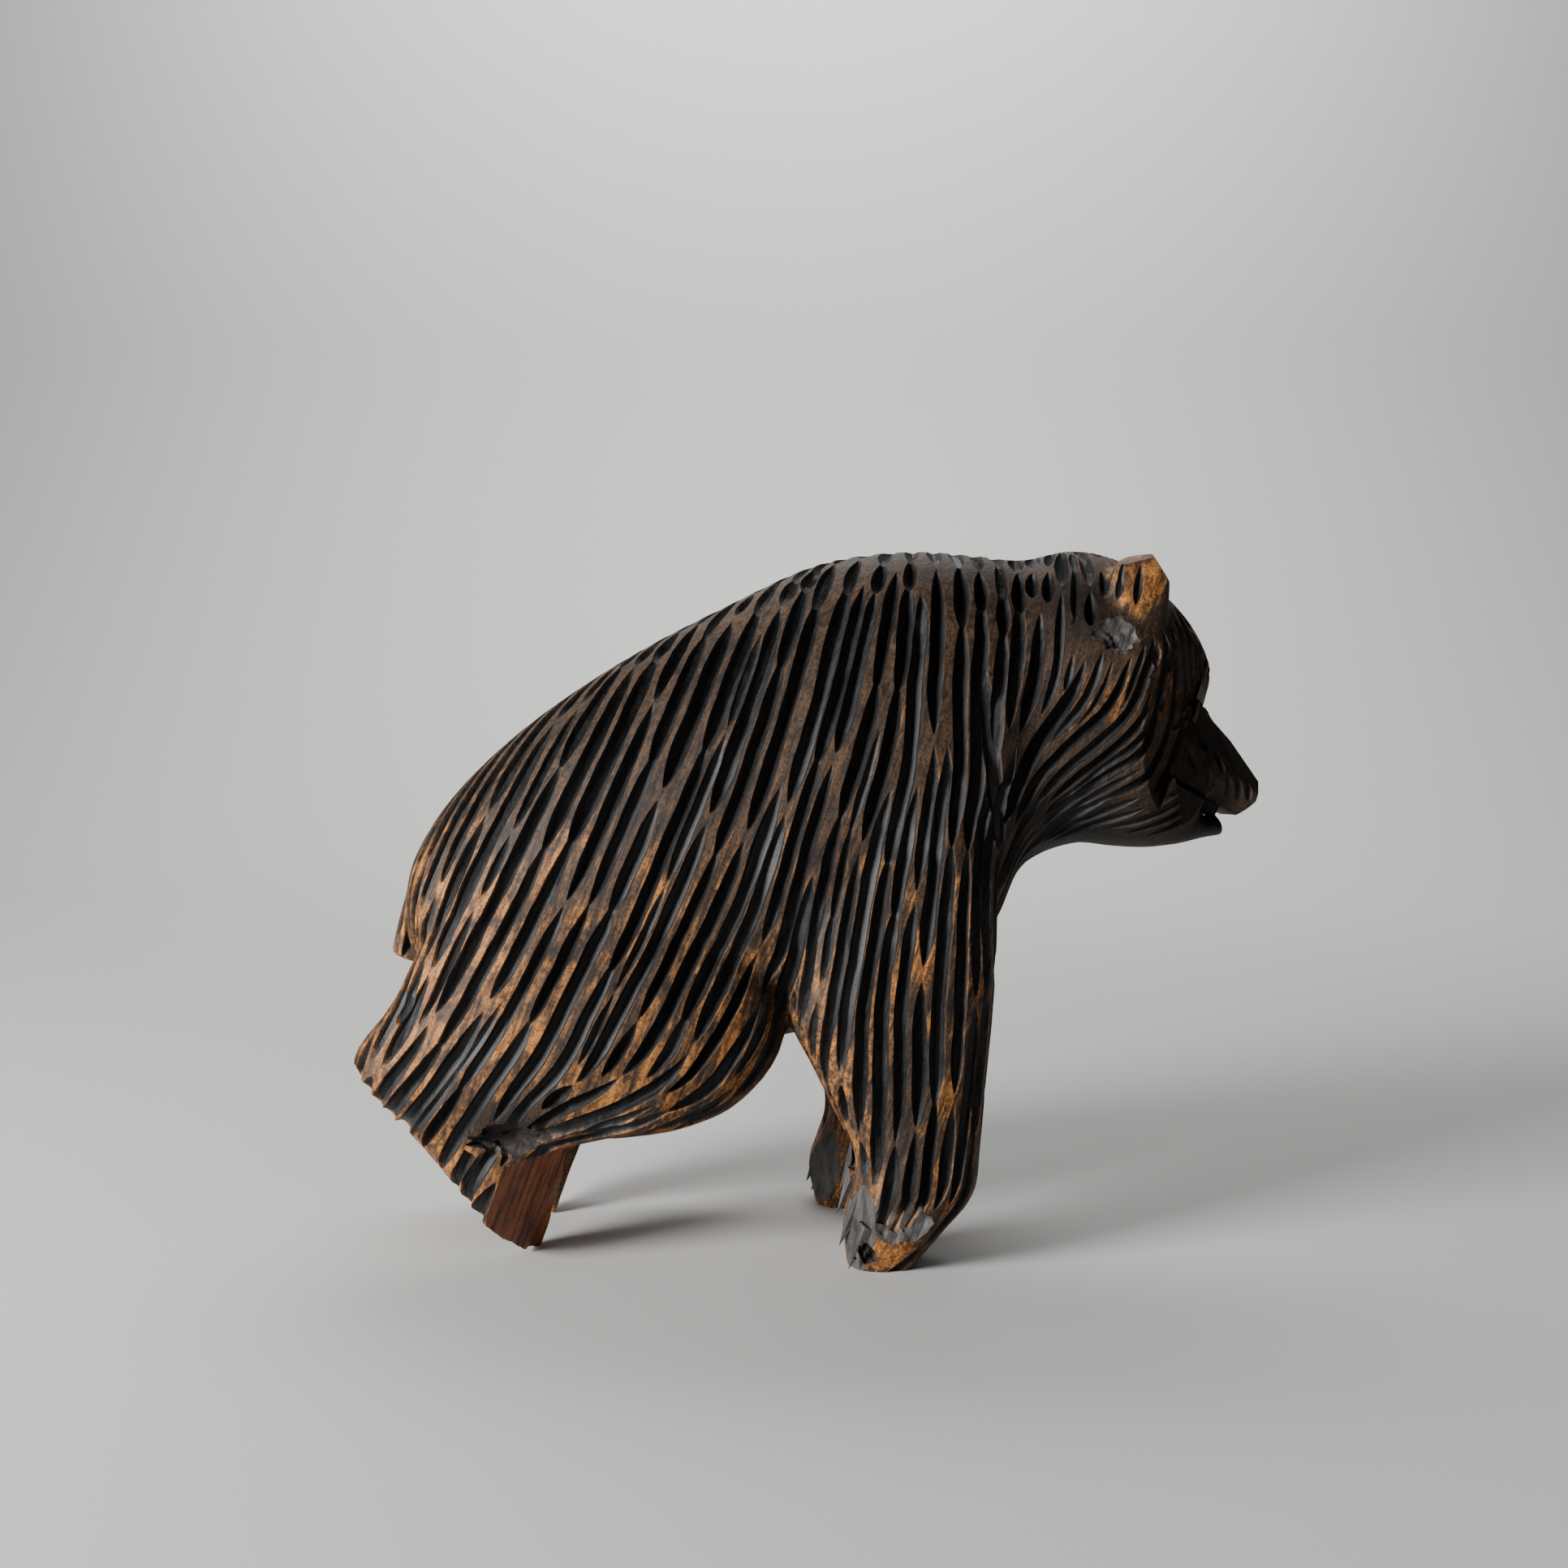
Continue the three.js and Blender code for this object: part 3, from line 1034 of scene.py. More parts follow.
    def lay(self) -> list[Stroke]:
        """Fill the furred wood with lines, each beside the last, and then the gaps.

        Returns:
            All the strokes.
        """
        starts = list(self.seeds)
        self.random.shuffle(starts)
        for self.now in (FIRST_PASS, GAP_PASS):
            for start in starts:
                waiting = deque([start])
                while waiting:
                    line = self.try_line(waiting.popleft())
                    if line is not None:
                        waiting.extend(self.keep(line))
        return self.strokes


@dataclass(frozen=True)
class Mark:
    """A single cut given in the side view, from one end to the other."""

    start: tuple[float, float]
    end: tuple[float, float]
    width: float
    depth: float
    finish: Finish = Finish.CARVED


HAND_MARKS = (
    Mark((80.2, 171.5), (79.6, 163.5), 2.8, 1.3),
    Mark((84.4, 172.5), (82.6, 163.0), 2.8, 1.4),
    Mark((89.0, 172.5), (87.0, 161.5), 3.0, 1.5),
    Mark((92.5, 152.6), (91.6, 146.0), 2.6, 1.1),
    Mark((96.8, 152.0), (95.6, 145.0), 2.6, 1.1),
    Mark((94.6, 141.0), (93.8, 134.5), 2.8, 1.2),
    Mark((104.0, 136.5), (97.0, 131.0), 2.6, 1.0),
    Mark((105.2, 131.5), (108.6, 124.5), 2.6, 0.8),
    Mark((102.6, 128.0), (104.6, 121.0), 2.4, 0.8),
    Mark((110.0, 127.0), (112.4, 120.0), 2.4, 0.8),
    Mark((108.0, 121.5), (109.4, 115.8), 2.2, 0.7),
    Mark((113.6, 120.0), (114.4, 113.4), 2.4, 0.8),
    Mark((116.4, 119.6), (117.0, 112.6), 2.4, 0.8),
    Mark((119.2, 118.4), (119.5, 113.0), 2.2, 0.7),
    Mark((47.5, 150.0), (53.0, 100.0), 4.4, 2.4),
    Mark((-71.5, 30.0), (-77.5, 18.0), 3.8, 1.6),
)


@dataclass
class Gouge:
    """The round gouge: it turns strokes into canoe-shaped cutters and cuts them out of the wood."""

    arc: int = 5
    hollow: float = 1.25
    lift: float = 1.5
    flare: float = 1.12
    section_gap: float = 4.0
    start_run: float = 13.0
    end_run: float = 11.0
    end_marks: tuple[float, ...] = (0.0, 0.12, 0.35, 0.65)
    start_taper: float = 0.75
    end_taper: float = 0.65
    run_out: float = 0.3
    sway: float = 0.25
    swell: float = 0.2
    sway_length: float = 11.0

    def sections(self, stroke: Stroke) -> list[list[Vector]]:
        """Give the rings of one cutter.

        Args:
            stroke: The path, width and depth of the cut.

        Returns:
            The rings from end to end, each from lip to lip.
        """
        path = np.array([tuple(place) for place in stroke.places])
        facing = np.array([tuple(normal) for normal in stroke.normals])
        travel = np.concatenate(([0.0], np.cumsum(np.linalg.norm(np.diff(path, axis=0), axis=1))))
        length = travel[-1]
        start = 0.0 if stroke.open_start else min(self.start_run * MM, length * 0.55)
        end = 0.0 if stroke.open_end else min(self.end_run * MM, length * 0.4)
        inner = max(1, round((length - start - end) / MM / self.section_gap))
        spots = np.linspace(start, length - end, inner + 1)
        if start:
            spots = np.concatenate((np.array(self.end_marks) * start, spots))
        if end:
            spots = np.concatenate((spots, length - np.array(self.end_marks[::-1]) * end))
        middles = [Vector([np.interp(spot, travel, path[:, axis]) for axis in range(3)]) for spot in spots]
        rings = []
        for number, spot in enumerate(spots):
            normal = Vector([np.interp(spot, travel, facing[:, axis]) for axis in range(3)])
            along = middles[min(number + 1, len(spots) - 1)] - middles[max(number - 1, 0)]
            across = along.cross(normal).normalized()
            outward = across.cross(along).normalized()
            full = self.fullness(spot, start, self.start_taper)
            full = min(full, self.fullness(length - spot, end, self.end_taper))
            wander = middles[number] / (self.sway_length * MM)
            half = stroke.width / 2 * max(full, 0.1) * (1 + self.swell * noise.noise(wander)) * MM
            deep = (stroke.depth * full - self.run_out * (1 - full)) * MM
            middle = middles[number] + across * (self.sway * full * noise.noise(wander * 1.7) * MM)
            ring = [middle + across * half * self.flare + outward * self.lift * MM]
            for corner in range(self.arc):
                angle = math.pi * corner / (self.arc - 1)
                rim = across * (math.cos(angle) * half) - outward * (math.sin(angle) ** self.hollow * deep)
                ring.append(middle + rim)
            ring.append(middle - across * half * self.flare + outward * self.lift * MM)
            rings.append(ring)
        return rings

    def fullness(self, travelled: float, run: float, taper: float) -> float:
        """Give the share of its full size that a cut has reached, some way from its end.

        Args:
            travelled: The way from the end.
            run: The way in which the cut grows to its full size.
            taper: How blunt the end is, from 1 for a pointed one down to 0.

        Returns:
            The share, from 0 to 1.
        """
        if run == 0:
            return 1.0
        return math.sin(math.pi / 2 * max(0.0, min(1.0, travelled / run))) ** taper

    def cutter(self, strokes: Sequence[Stroke], slots: Sequence[bpy.types.Material]) -> bpy.types.Object:
        """Make one mesh of many cutters.

        Args:
            strokes: The strokes to cut at one go, clear of each other.
            slots: The materials of the bear.

        Returns:
            The cutters, as one object.
        """
        corners: list[Vector] = []
        faces: list[tuple[int, ...]] = []
        finishes: list[int] = []
        around = self.arc + 2
        for stroke in strokes:
            rings = self.sections(stroke)
            first = len(corners)
            for ring in rings:
                corners.extend(ring)
            for row in range(len(rings) - 1):
                for corner in range(around):
                    a = first + row * around + corner
                    b = first + row * around + (corner + 1) % around
                    faces.append((a, a + around, b + around, b))
            faces.append(tuple(range(first, first + around)))
            end = first + (len(rings) - 1) * around
            faces.append(tuple(range(end + around - 1, end - 1, -1)))
            finishes.extend([stroke.finish.value] * (len(faces) - len(finishes)))
        mesh = bpy.data.meshes.new("gouge")
        mesh.from_pydata(corners, [], faces)
        tool = bpy.data.objects.new("gouge", mesh)
        bpy.context.collection.objects.link(tool)
        recalculate_normals(tool)
        share_slots(tool, Finish.CARVED, slots)
        mesh.polygons.foreach_set("material_index", finishes)
        return tool

    def batches(self, strokes: Sequence[Stroke]) -> list[list[Stroke]]:
        """Sort the strokes into sets whose cutters stay clear of each other.

        Args:
            strokes: All the strokes.

        Returns:
            The sets.
        """
        size = 7.0 * MM
        cells: dict[tuple[int, int, int], set[int]] = defaultdict(set)
        near: dict[int, set[int]] = defaultdict(set)
        spots = []
        for number, stroke in enumerate(strokes):
            for place in stroke.places:
                cell = (math.floor(place.x / size), math.floor(place.y / size), math.floor(place.z / size))
                spots.append((number, cell))
                cells[cell].add(number)
        for number, (i, j, k) in spots:
            for a in (i - 1, i, i + 1):
                for b in (j - 1, j, j + 1):
                    for c in (k - 1, k, k + 1):
                        near[number] |= cells.get((a, b, c), set())
        chosen: dict[int, int] = {}
        sets: dict[int, list[Stroke]] = defaultdict(list)
        for number, stroke in enumerate(strokes):
            taken = {chosen[other] for other in near[number] if other in chosen and other != number}
            choice = next(free for free in range(len(strokes)) if free not in taken)
            chosen[number] = choice
            sets[choice].append(stroke)
        return list(sets.values())

    def carve(self, bear: bpy.types.Object, strokes: Sequence[Stroke], slots: Sequence[bpy.types.Material]) -> None:
        """Cut all the strokes out of the wood.

        Args:
            bear: The blank.
            strokes: The strokes to cut.
            slots: The materials of the bear.
        """
        for batch in self.batches(strokes):
            cut_away(bear, self.cutter(batch, slots))


def hand_strokes(tree: BVHTree, marks: Sequence[Mark]) -> list[Stroke]:
    """Lay the marks of the side view on both sides of the wood.

    Args:
        tree: The blank's surface.
        marks: The marks.

    Returns:
        The strokes.
    """
    strokes = []
    for mark in marks:
        for side in Side:
            places, normals = [], []
            for share in np.linspace(0, 1, 6):
                x = mark.start[0] + (mark.end[0] - mark.start[0]) * share
                z = mark.start[1] + (mark.end[1] - mark.start[1]) * share
                place, normal, _, _ = tree.ray_cast(row_point(x, side.value * 90, z), Vector((0, -side.value, 0)))
                if place is not None:
                    places.append(place)
                    normals.append(normal)
            if len(places) > 3:
                strokes.append(Stroke(places, normals, mark.width, mark.depth, mark.finish))
    return strokes


@dataclass
class Forepaws:
    """The bent forepaws: a torn bare palm on the back of each, blunt claws, and bare knuckles on the near one."""

    near_palm: Cut = Cut((18.5, -36.5, 12), (-0.84, -0.55, 0.0))
    far_palm: Cut = Cut((10.4, 21.4, 12), (-0.8, -0.6, 0.0))
    near_wrist: Cut = Cut((18, 0, 20.5), (-0.25, 0, 0.97))
    far_wrist: Cut = Cut((12, 0, 26), (-0.25, 0, 0.97))
    palm_size: float = 40.0
    fibres: Fibres = Fibres(1.9, 13.0, 0.6, -14.0)
    near_tips: tuple[tuple[float, float, float], ...] = (
        (15.4, -37.5, 0.4), (13.4, -32.0, 4.6), (13.0, -25.5, 10.6), (14.0, -19.0, 15.0))
    far_tips: tuple[tuple[float, float, float], ...] = (
        (10.2, 21.0, 3.4), (6.2, 27.0, 5.4), (7.6, 31.5, 1.6), (10.4, 36.0, 0.5))
    lean: tuple[float, float, float] = (-0.42, 0.05, -0.9)
    length: float = 12.0
    radius: float = 2.7
    sides: int = 5
    hole_place: tuple[float, float, float] = (19.6, -38.4, 4.6)
    hole_size: tuple[float, float, float] = (2.6, 4.0, 2.8)
    knuckles: tuple[tuple[float, float, float], ...] = ((25.0, -42.4, 12.2), (30.4, -42.3, 12.8))
    knuckle_size: tuple[float, float, float] = (5.2, 1.3, 4.6)

    def cut(self, blank: bpy.types.Object, slots: Sequence[bpy.types.Material]) -> None:
        """Cut the palms, the knuckles and the hole between the claws, and add the claws.

        Args:
            blank: The roughed-out bear.
            slots: The materials of the bear.
        """
        for palm, wrist, tips in (
            (self.near_palm, self.near_wrist, self.near_tips),
            (self.far_palm, self.far_wrist, self.far_tips),
        ):
            facet = self.palm(palm, wrist)
            share_slots(facet, Finish.PALM, slots)
            trim(facet, Vector(), Vector((0, -math.copysign(1.0, palm.point[1]), 0)))
            cut_away(blank, facet)
            for tip in tips:
                claw = self.claw(tip)
                share_slots(claw, Finish.PALM, slots)
                combine(blank, claw, "UNION")
        for place in self.knuckles:
            knuckle = rough_lump("knuckle", place, self.knuckle_size, 0.25)
            share_slots(knuckle, Finish.PALM, slots)
            cut_away(blank, knuckle)
        # The hole between the claws takes the near-black painted shade.
        hole = rough_lump("hole", self.hole_place, self.hole_size)
        share_slots(hole, Finish.TORN, slots)
        cut_away(blank, hole)

    def palm(self, palm: Cut, wrist: Cut) -> bpy.types.Object:
        """Make the ragged block that bares one palm.

        Args:
            palm: The plane of the palm.
            wrist: The plane where it ends.

        Returns:
            The block.
        """
        point, waste = palm.plane()
        facet = plane_block(point, waste, self.palm_size, cuts=36)
        for vertex in facet.data.vertices:
            if abs((vertex.co - point).dot(waste)) < 0.5 * MM:
                vertex.co += waste * self.fibres.rise(vertex.co)
        trim(facet, *wrist.plane())
        return facet

    def claw(self, tip: tuple[float, float, float]) -> bpy.types.Object:
        """Make one claw.

        Args:
            tip: The place of its point in the side drawing.

        Returns:
            The claw.
        """
        bpy.ops.object.select_all(action="DESELECT")
        bpy.ops.mesh.primitive_cone_add(
            vertices=self.sides, radius1=self.radius * MM, depth=self.length * MM)
        claw = bpy.context.object
        claw.name = "claw"
        lean = Vector(self.lean).normalized()
        turn = lean.to_track_quat("Z", "Y").to_matrix().to_4x4()
        place = row_point(*tip) - lean * (self.length / 2 * MM)
        claw.data.transform(Matrix.Translation(place) @ turn)
        return claw


@dataclass(frozen=True)
class RubbingAndShadeSpot:
    """An oval of the side view where the stain is rubbed off, or where the colour is painted darker: painted shade
    on the muzzle, under the jaw and on the neck, and elsewhere just darker.
    """

    patch: Patch
    strength: float
    near_only: bool = False


# Positive spots rub the stain off; negative spots darken the colour: painted shade on the muzzle, under the jaw and
# on the neck, and elsewhere just darker.
RUBBING_AND_SHADE_SPOTS = (
    RubbingAndShadeSpot(Patch(88, 168, 10, 11), 0.75),
    RubbingAndShadeSpot(Patch(92, 140, 8, 8), 0.25),
    RubbingAndShadeSpot(Patch(74, 138, 12, 12), 0.2),
    # Painted shade: the muzzle and face, painted darker where the head lies in shadow.
    RubbingAndShadeSpot(Patch(112, 118, 22, 26), -0.5),
    RubbingAndShadeSpot(Patch(120, 112, 6, 5), 0.45),
    RubbingAndShadeSpot(Patch(73, 157, 15, 15), -0.35),
    # Painted shade: under the jaw and on the neck and chest below the head, painted darker.
    RubbingAndShadeSpot(Patch(84, 108, 26, 18), -0.35),
    RubbingAndShadeSpot(Patch(62, 110, 24, 30), -0.3),
    RubbingAndShadeSpot(Patch(66, 170, 50, 16), -0.25),
    RubbingAndShadeSpot(Patch(26, 5.5, 6.5, 5.5), 0.7, True),
    RubbingAndShadeSpot(Patch(-98, 48, 16, 16), 0.4),
    RubbingAndShadeSpot(Patch(-80, 75, 34, 34), 0.15),
    RubbingAndShadeSpot(Patch(-20, 140, 60, 30), -0.15),
    RubbingAndShadeSpot(Patch(-66, 36, 16, 8), -0.4),
    RubbingAndShadeSpot(Patch(34, 36, 26, 34), -0.1),
)


def rubbing_and_shade_at(point: Vector) -> float:
    """Give how much more than elsewhere the stain is worn at a point; negative values darken it, as painted shade
    on the muzzle, under the jaw and on the neck, and elsewhere just darker.

    Args:
        point: A point of the carved wood.

    Returns:
        The sum of the spots, each fading towards its edge.
    """
    x, y, z = drawing_place(point)
    total = 0.0
    for spot in RUBBING_AND_SHADE_SPOTS:
        if spot.near_only and y > 0:
            continue
        gap = ((x - spot.patch.x) / spot.patch.half_width) ** 2 + ((z - spot.patch.z) / spot.patch.half_height) ** 2
        total += spot.strength * max(0.0, 1.0 - gap)
    between_ears = abs(y) < 12 and z > 160
    return min(total, 0.0) if between_ears else total


class NodeSheet:
    """A node tree that is filled one node at a time."""

    def __init__(self, tree: bpy.types.NodeTree):
        """Start from an empty tree."""
        self.tree = tree
        self.tree.nodes.clear()

    def add(self, kind: str, inputs: dict[str, object] | None = None, **settings: object) -> bpy.types.Node:
        """Add a node.

        Args:
            kind: The node's type.
            inputs: Values, or sockets to link, by the name of the input.
            settings: The node's own settings.

        Returns:
            The node.
        """
        node = self.tree.nodes.new(kind)
        for name, value in settings.items():
            setattr(node, name, value)
        for name, value in (inputs or {}).items():
            socket = node.inputs[name]
            if isinstance(value, bpy.types.NodeSocket):
                self.tree.links.new(value, socket)
            else:
                socket.default_value = value
        return node

    def math(self, operation: str, first: object, second: object = 0.5) -> bpy.types.NodeSocket:
        """Add a Math node and give its result."""
        node = self.add("ShaderNodeMath", operation=operation)
        for socket, value in zip(node.inputs, (first, second)):
            if isinstance(value, bpy.types.NodeSocket):
                self.tree.links.new(value, socket)
            else:
                socket.default_value = value
        return node.outputs[0]

    def range(self, value: bpy.types.NodeSocket, low: float, high: float, to: tuple[float, float] = (0.0, 1.0)
              ) -> bpy.types.NodeSocket:
        """Map a value smoothly from one range to another and give the result."""
        limits = {"Value": value, "From Min": low, "From Max": high, "To Min": to[0], "To Max": to[1]}
        return self.add("ShaderNodeMapRange", limits, interpolation_type="SMOOTHSTEP").outputs["Result"]

    def mix(self, share: object, first: object, second: object, blend: str = "MIX") -> bpy.types.NodeSocket:
        """Mix two colours and give the result."""
        node = self.add("ShaderNodeMix", data_type="RGBA", blend_type=blend, clamp_factor=True)
        for socket, value in zip((node.inputs[0], node.inputs[6], node.inputs[7]), (share, first, second)):
            if isinstance(value, bpy.types.NodeSocket):
                self.tree.links.new(value, socket)
            else:
                socket.default_value = value if isinstance(value, float) else (*value, 1.0)
        return node.outputs[2]


def grain_group() -> bpy.types.NodeTree:
    """Build the shared wood grain: streaks that run with the fur, and small flecks.

    Returns:
        The node group.
    """
    group = bpy.data.node_groups.new("wood_grain", "ShaderNodeTree")
    for name, value in (("Width", 900.0), ("Stretch", 0.07), ("Lean", -0.36)):
        group.interface.new_socket(name, in_out="INPUT", socket_type="NodeSocketFloat").default_value = value
    for name in ("Streaks", "Flecks", "Mottle", "Bands"):
        group.interface.new_socket(name, in_out="OUTPUT", socket_type="NodeSocketFloat")
    sheet = NodeSheet(group)
    entry = sheet.add("NodeGroupInput")
    place = sheet.add("ShaderNodeTexCoord").outputs["Object"]
    turn = sheet.add("ShaderNodeCombineXYZ", {"Y": entry.outputs["Lean"]}).outputs[0]
    turned = sheet.add("ShaderNodeVectorRotate", {"Vector": place, "Rotation": turn}, rotation_type="EULER_XYZ")
    squeeze = sheet.add("ShaderNodeCombineXYZ", {"X": 1.0, "Y": 1.0, "Z": entry.outputs["Stretch"]}).outputs[0]
    stretched = sheet.add("ShaderNodeVectorMath", operation="MULTIPLY")
    group.links.new(turned.outputs[0], stretched.inputs[0])
    group.links.new(squeeze, stretched.inputs[1])
    streaks = sheet.add("ShaderNodeTexNoise", {
        "Vector": stretched.outputs[0], "Scale": entry.outputs["Width"], "Detail": 5.0, "Roughness": 0.62})
    flecks = sheet.add("ShaderNodeTexNoise", {"Vector": place, "Scale": 1300.0, "Detail": 4.0, "Roughness": 0.75})
    mottle = sheet.add("ShaderNodeTexNoise", {"Vector": place, "Scale": 130.0, "Detail": 5.0, "Roughness": 0.65})
    short = sheet.add("ShaderNodeVectorMath", operation="MULTIPLY")
    group.links.new(turned.outputs[0], short.inputs[0])
    short.inputs[1].default_value = (1.0, 1.0, 0.2)
    bands = sheet.add("ShaderNodeTexNoise", {
        "Vector": short.outputs[0], "Scale": 240.0, "Detail": 3.5, "Roughness": 0.62})
    result = sheet.add("NodeGroupOutput")
    for name, node in (("Streaks", streaks), ("Flecks", flecks), ("Mottle", mottle), ("Bands", bands)):
        group.links.new(node.outputs["Fac"], result.inputs[name])
    return group


Colour = tuple[float, float, float]


@dataclass(frozen=True)
class CarvedWood:
    """Dark stained wood: black in the gouge cuts, brown on the land and worn to tan on the high places, with
    painted shade darkening the muzzle, the underside of the jaw and the neck.
    """

    groove: Colour = (0.005, 0.0048, 0.0048)
    lit_groove: Colour = (0.017, 0.0168, 0.0172)
    dark_land: Colour = (0.016, 0.0105, 0.0075)
    land: Colour = (0.078, 0.042, 0.02)
    deep_worn: Colour = (0.15, 0.057, 0.015)
    worn: Colour = (0.41, 0.165, 0.037)
    land_roughness: float = 0.62
    groove_roughness: float = 0.5
    shine: float = 0.28
    full_depth: float = 0.8

    def build(self, grain: bpy.types.NodeTree) -> bpy.types.Material:
        """Make the material.

        Args:
            grain: The shared grain group.

        Returns:
            The material.
        """
        material = bpy.data.materials.new("bear_carved")
        material.use_nodes = True
        sheet = NodeSheet(material.node_tree)
        wood = sheet.add("ShaderNodeGroup", node_tree=grain)
        depth = sheet.add("ShaderNodeAttribute", attribute_name="depth").outputs["Fac"]
        cut = sheet.range(depth, 0.04, self.full_depth)
        height = sheet.add("ShaderNodeSeparateXYZ", {
            "Vector": sheet.add("ShaderNodeTexCoord").outputs["Object"]}).outputs["Z"]
        low = sheet.range(height, 0.02, 0.175, (0.2, -0.06))
        bias = sheet.math("ADD", low, sheet.math("MULTIPLY", wood.outputs["Streaks"], 0.45))
        bias = sheet.math("ADD", bias, sheet.math("MULTIPLY", wood.outputs["Bands"], 1.0))
        # Positive values of this attribute are rubbed-off stain; negative values are painted shade on the muzzle,
        # under the jaw and on the neck, and elsewhere just darker.
        rubbing_and_shade = sheet.add("ShaderNodeAttribute", attribute_name="rubbing_and_shade").outputs["Fac"]
        worn = sheet.range(sheet.math("ADD", bias, rubbing_and_shade), 0.78, 1.0)
        worn = sheet.math("MULTIPLY", worn, sheet.range(wood.outputs["Mottle"], 0.4, 0.58, (0.15, 1.0)))
        bare = sheet.mix(sheet.range(wood.outputs["Streaks"], 0.36, 0.62), self.deep_worn, self.worn)
        tone = sheet.math("ADD", sheet.math("MULTIPLY", wood.outputs["Streaks"], 0.6),
                          sheet.math("MULTIPLY", wood.outputs["Mottle"], 0.4))
        land = sheet.mix(sheet.range(tone, 0.38, 0.62), self.dark_land, self.land)
        land = sheet.mix(worn, land, bare)
        groove = sheet.mix(sheet.range(wood.outputs["Streaks"], 0.35, 0.65), self.groove, self.lit_groove)
        colour = sheet.mix(cut, land, groove)
        speck = sheet.range(wood.outputs["Flecks"], 0.36, 0.56, (0.3, 1.0))
        # Darkens the colour with the real flecks and with the negative values: painted shade on the muzzle, under
        # the jaw and on the neck.
        shade = sheet.math("MULTIPLY", speck, sheet.range(rubbing_and_shade, -0.55, 0.0, (0.22, 1.0)))
        colour = sheet.mix(1.0, colour, sheet.add("ShaderNodeCombineColor", {
            "Red": shade, "Green": shade, "Blue": shade}).outputs[0], "MULTIPLY")
        rough = sheet.range(cut, 0.0, 1.0, (self.land_roughness, self.groove_roughness))
        relief = sheet.math("ADD", sheet.math("MULTIPLY", wood.outputs["Streaks"], 0.7),
                            sheet.math("MULTIPLY", wood.outputs["Flecks"], 0.3))
        bump = sheet.add("ShaderNodeBump", {"Strength": 0.45, "Distance": 0.0006, "Height": relief})
        shader = sheet.add("ShaderNodeBsdfPrincipled", {
            "Base Color": colour, "Roughness": rough, "Normal": bump.outputs["Normal"],
            "Specular IOR Level": self.shine})
        sheet.add("ShaderNodeOutputMaterial", {"Surface": shader.outputs["BSDF"]})
        return material


@dataclass(frozen=True)
class PlainWood:
    """Wood without stain: the raw split or the grey palms; and the near-black painted shade in the hollows: the
    torn pocket, the hole between the claws and the wood inside the mouth.
    """

    name: str
    dark: Colour
    light: Colour
    width: float
    stretch: float
    roughness: float
    bump: float

    def build(self, grain: bpy.types.NodeTree) -> bpy.types.Material:
        """Make the material.

        Args:
            grain: The shared grain group.

        Returns:
            The material.
        """
        material = bpy.data.materials.new(self.name)
        material.use_nodes = True
        sheet = NodeSheet(material.node_tree)
        wood = sheet.add("ShaderNodeGroup", {"Width": self.width, "Stretch": self.stretch}, node_tree=grain)
        blend = sheet.math("ADD", sheet.math("MULTIPLY", wood.outputs["Streaks"], 0.75),
                           sheet.math("MULTIPLY", wood.outputs["Mottle"], 0.25))
        colour = sheet.mix(sheet.range(blend, 0.36, 0.62), self.dark, self.light)
        speck = sheet.range(wood.outputs["Flecks"], 0.3, 0.6, (0.6, 1.0))
        colour = sheet.mix(1.0, colour, sheet.add("ShaderNodeCombineColor", {
            "Red": speck, "Green": speck, "Blue": speck}).outputs[0], "MULTIPLY")
        bump = sheet.add("ShaderNodeBump", {"Strength": self.bump, "Distance": 0.0008, "Height": blend})
        shader = sheet.add("ShaderNodeBsdfPrincipled", {
            "Base Color": colour, "Roughness": self.roughness, "Normal": bump.outputs["Normal"]})
        sheet.add("ShaderNodeOutputMaterial", {"Surface": shader.outputs["BSDF"]})
        return material


SPLIT_WOOD = PlainWood("bear_split", (0.03, 0.006, 0.003), (0.30, 0.085, 0.02), 620.0, 0.05, 0.6, 0.8)
PALM_WOOD = PlainWood("bear_palm", (0.012, 0.0105, 0.0092), (0.064, 0.056, 0.05), 520.0, 0.1, 0.6, 0.8)
# Painted shade: near black in the torn pocket, the hole between the claws and the wood left inside the mouth.
HOLLOW_SHADE_WOOD = PlainWood("bear_hollow_shade", (0.005, 0.003, 0.0025), (0.022, 0.011, 0.007), 800.0, 0.15, 0.8, 0.9)


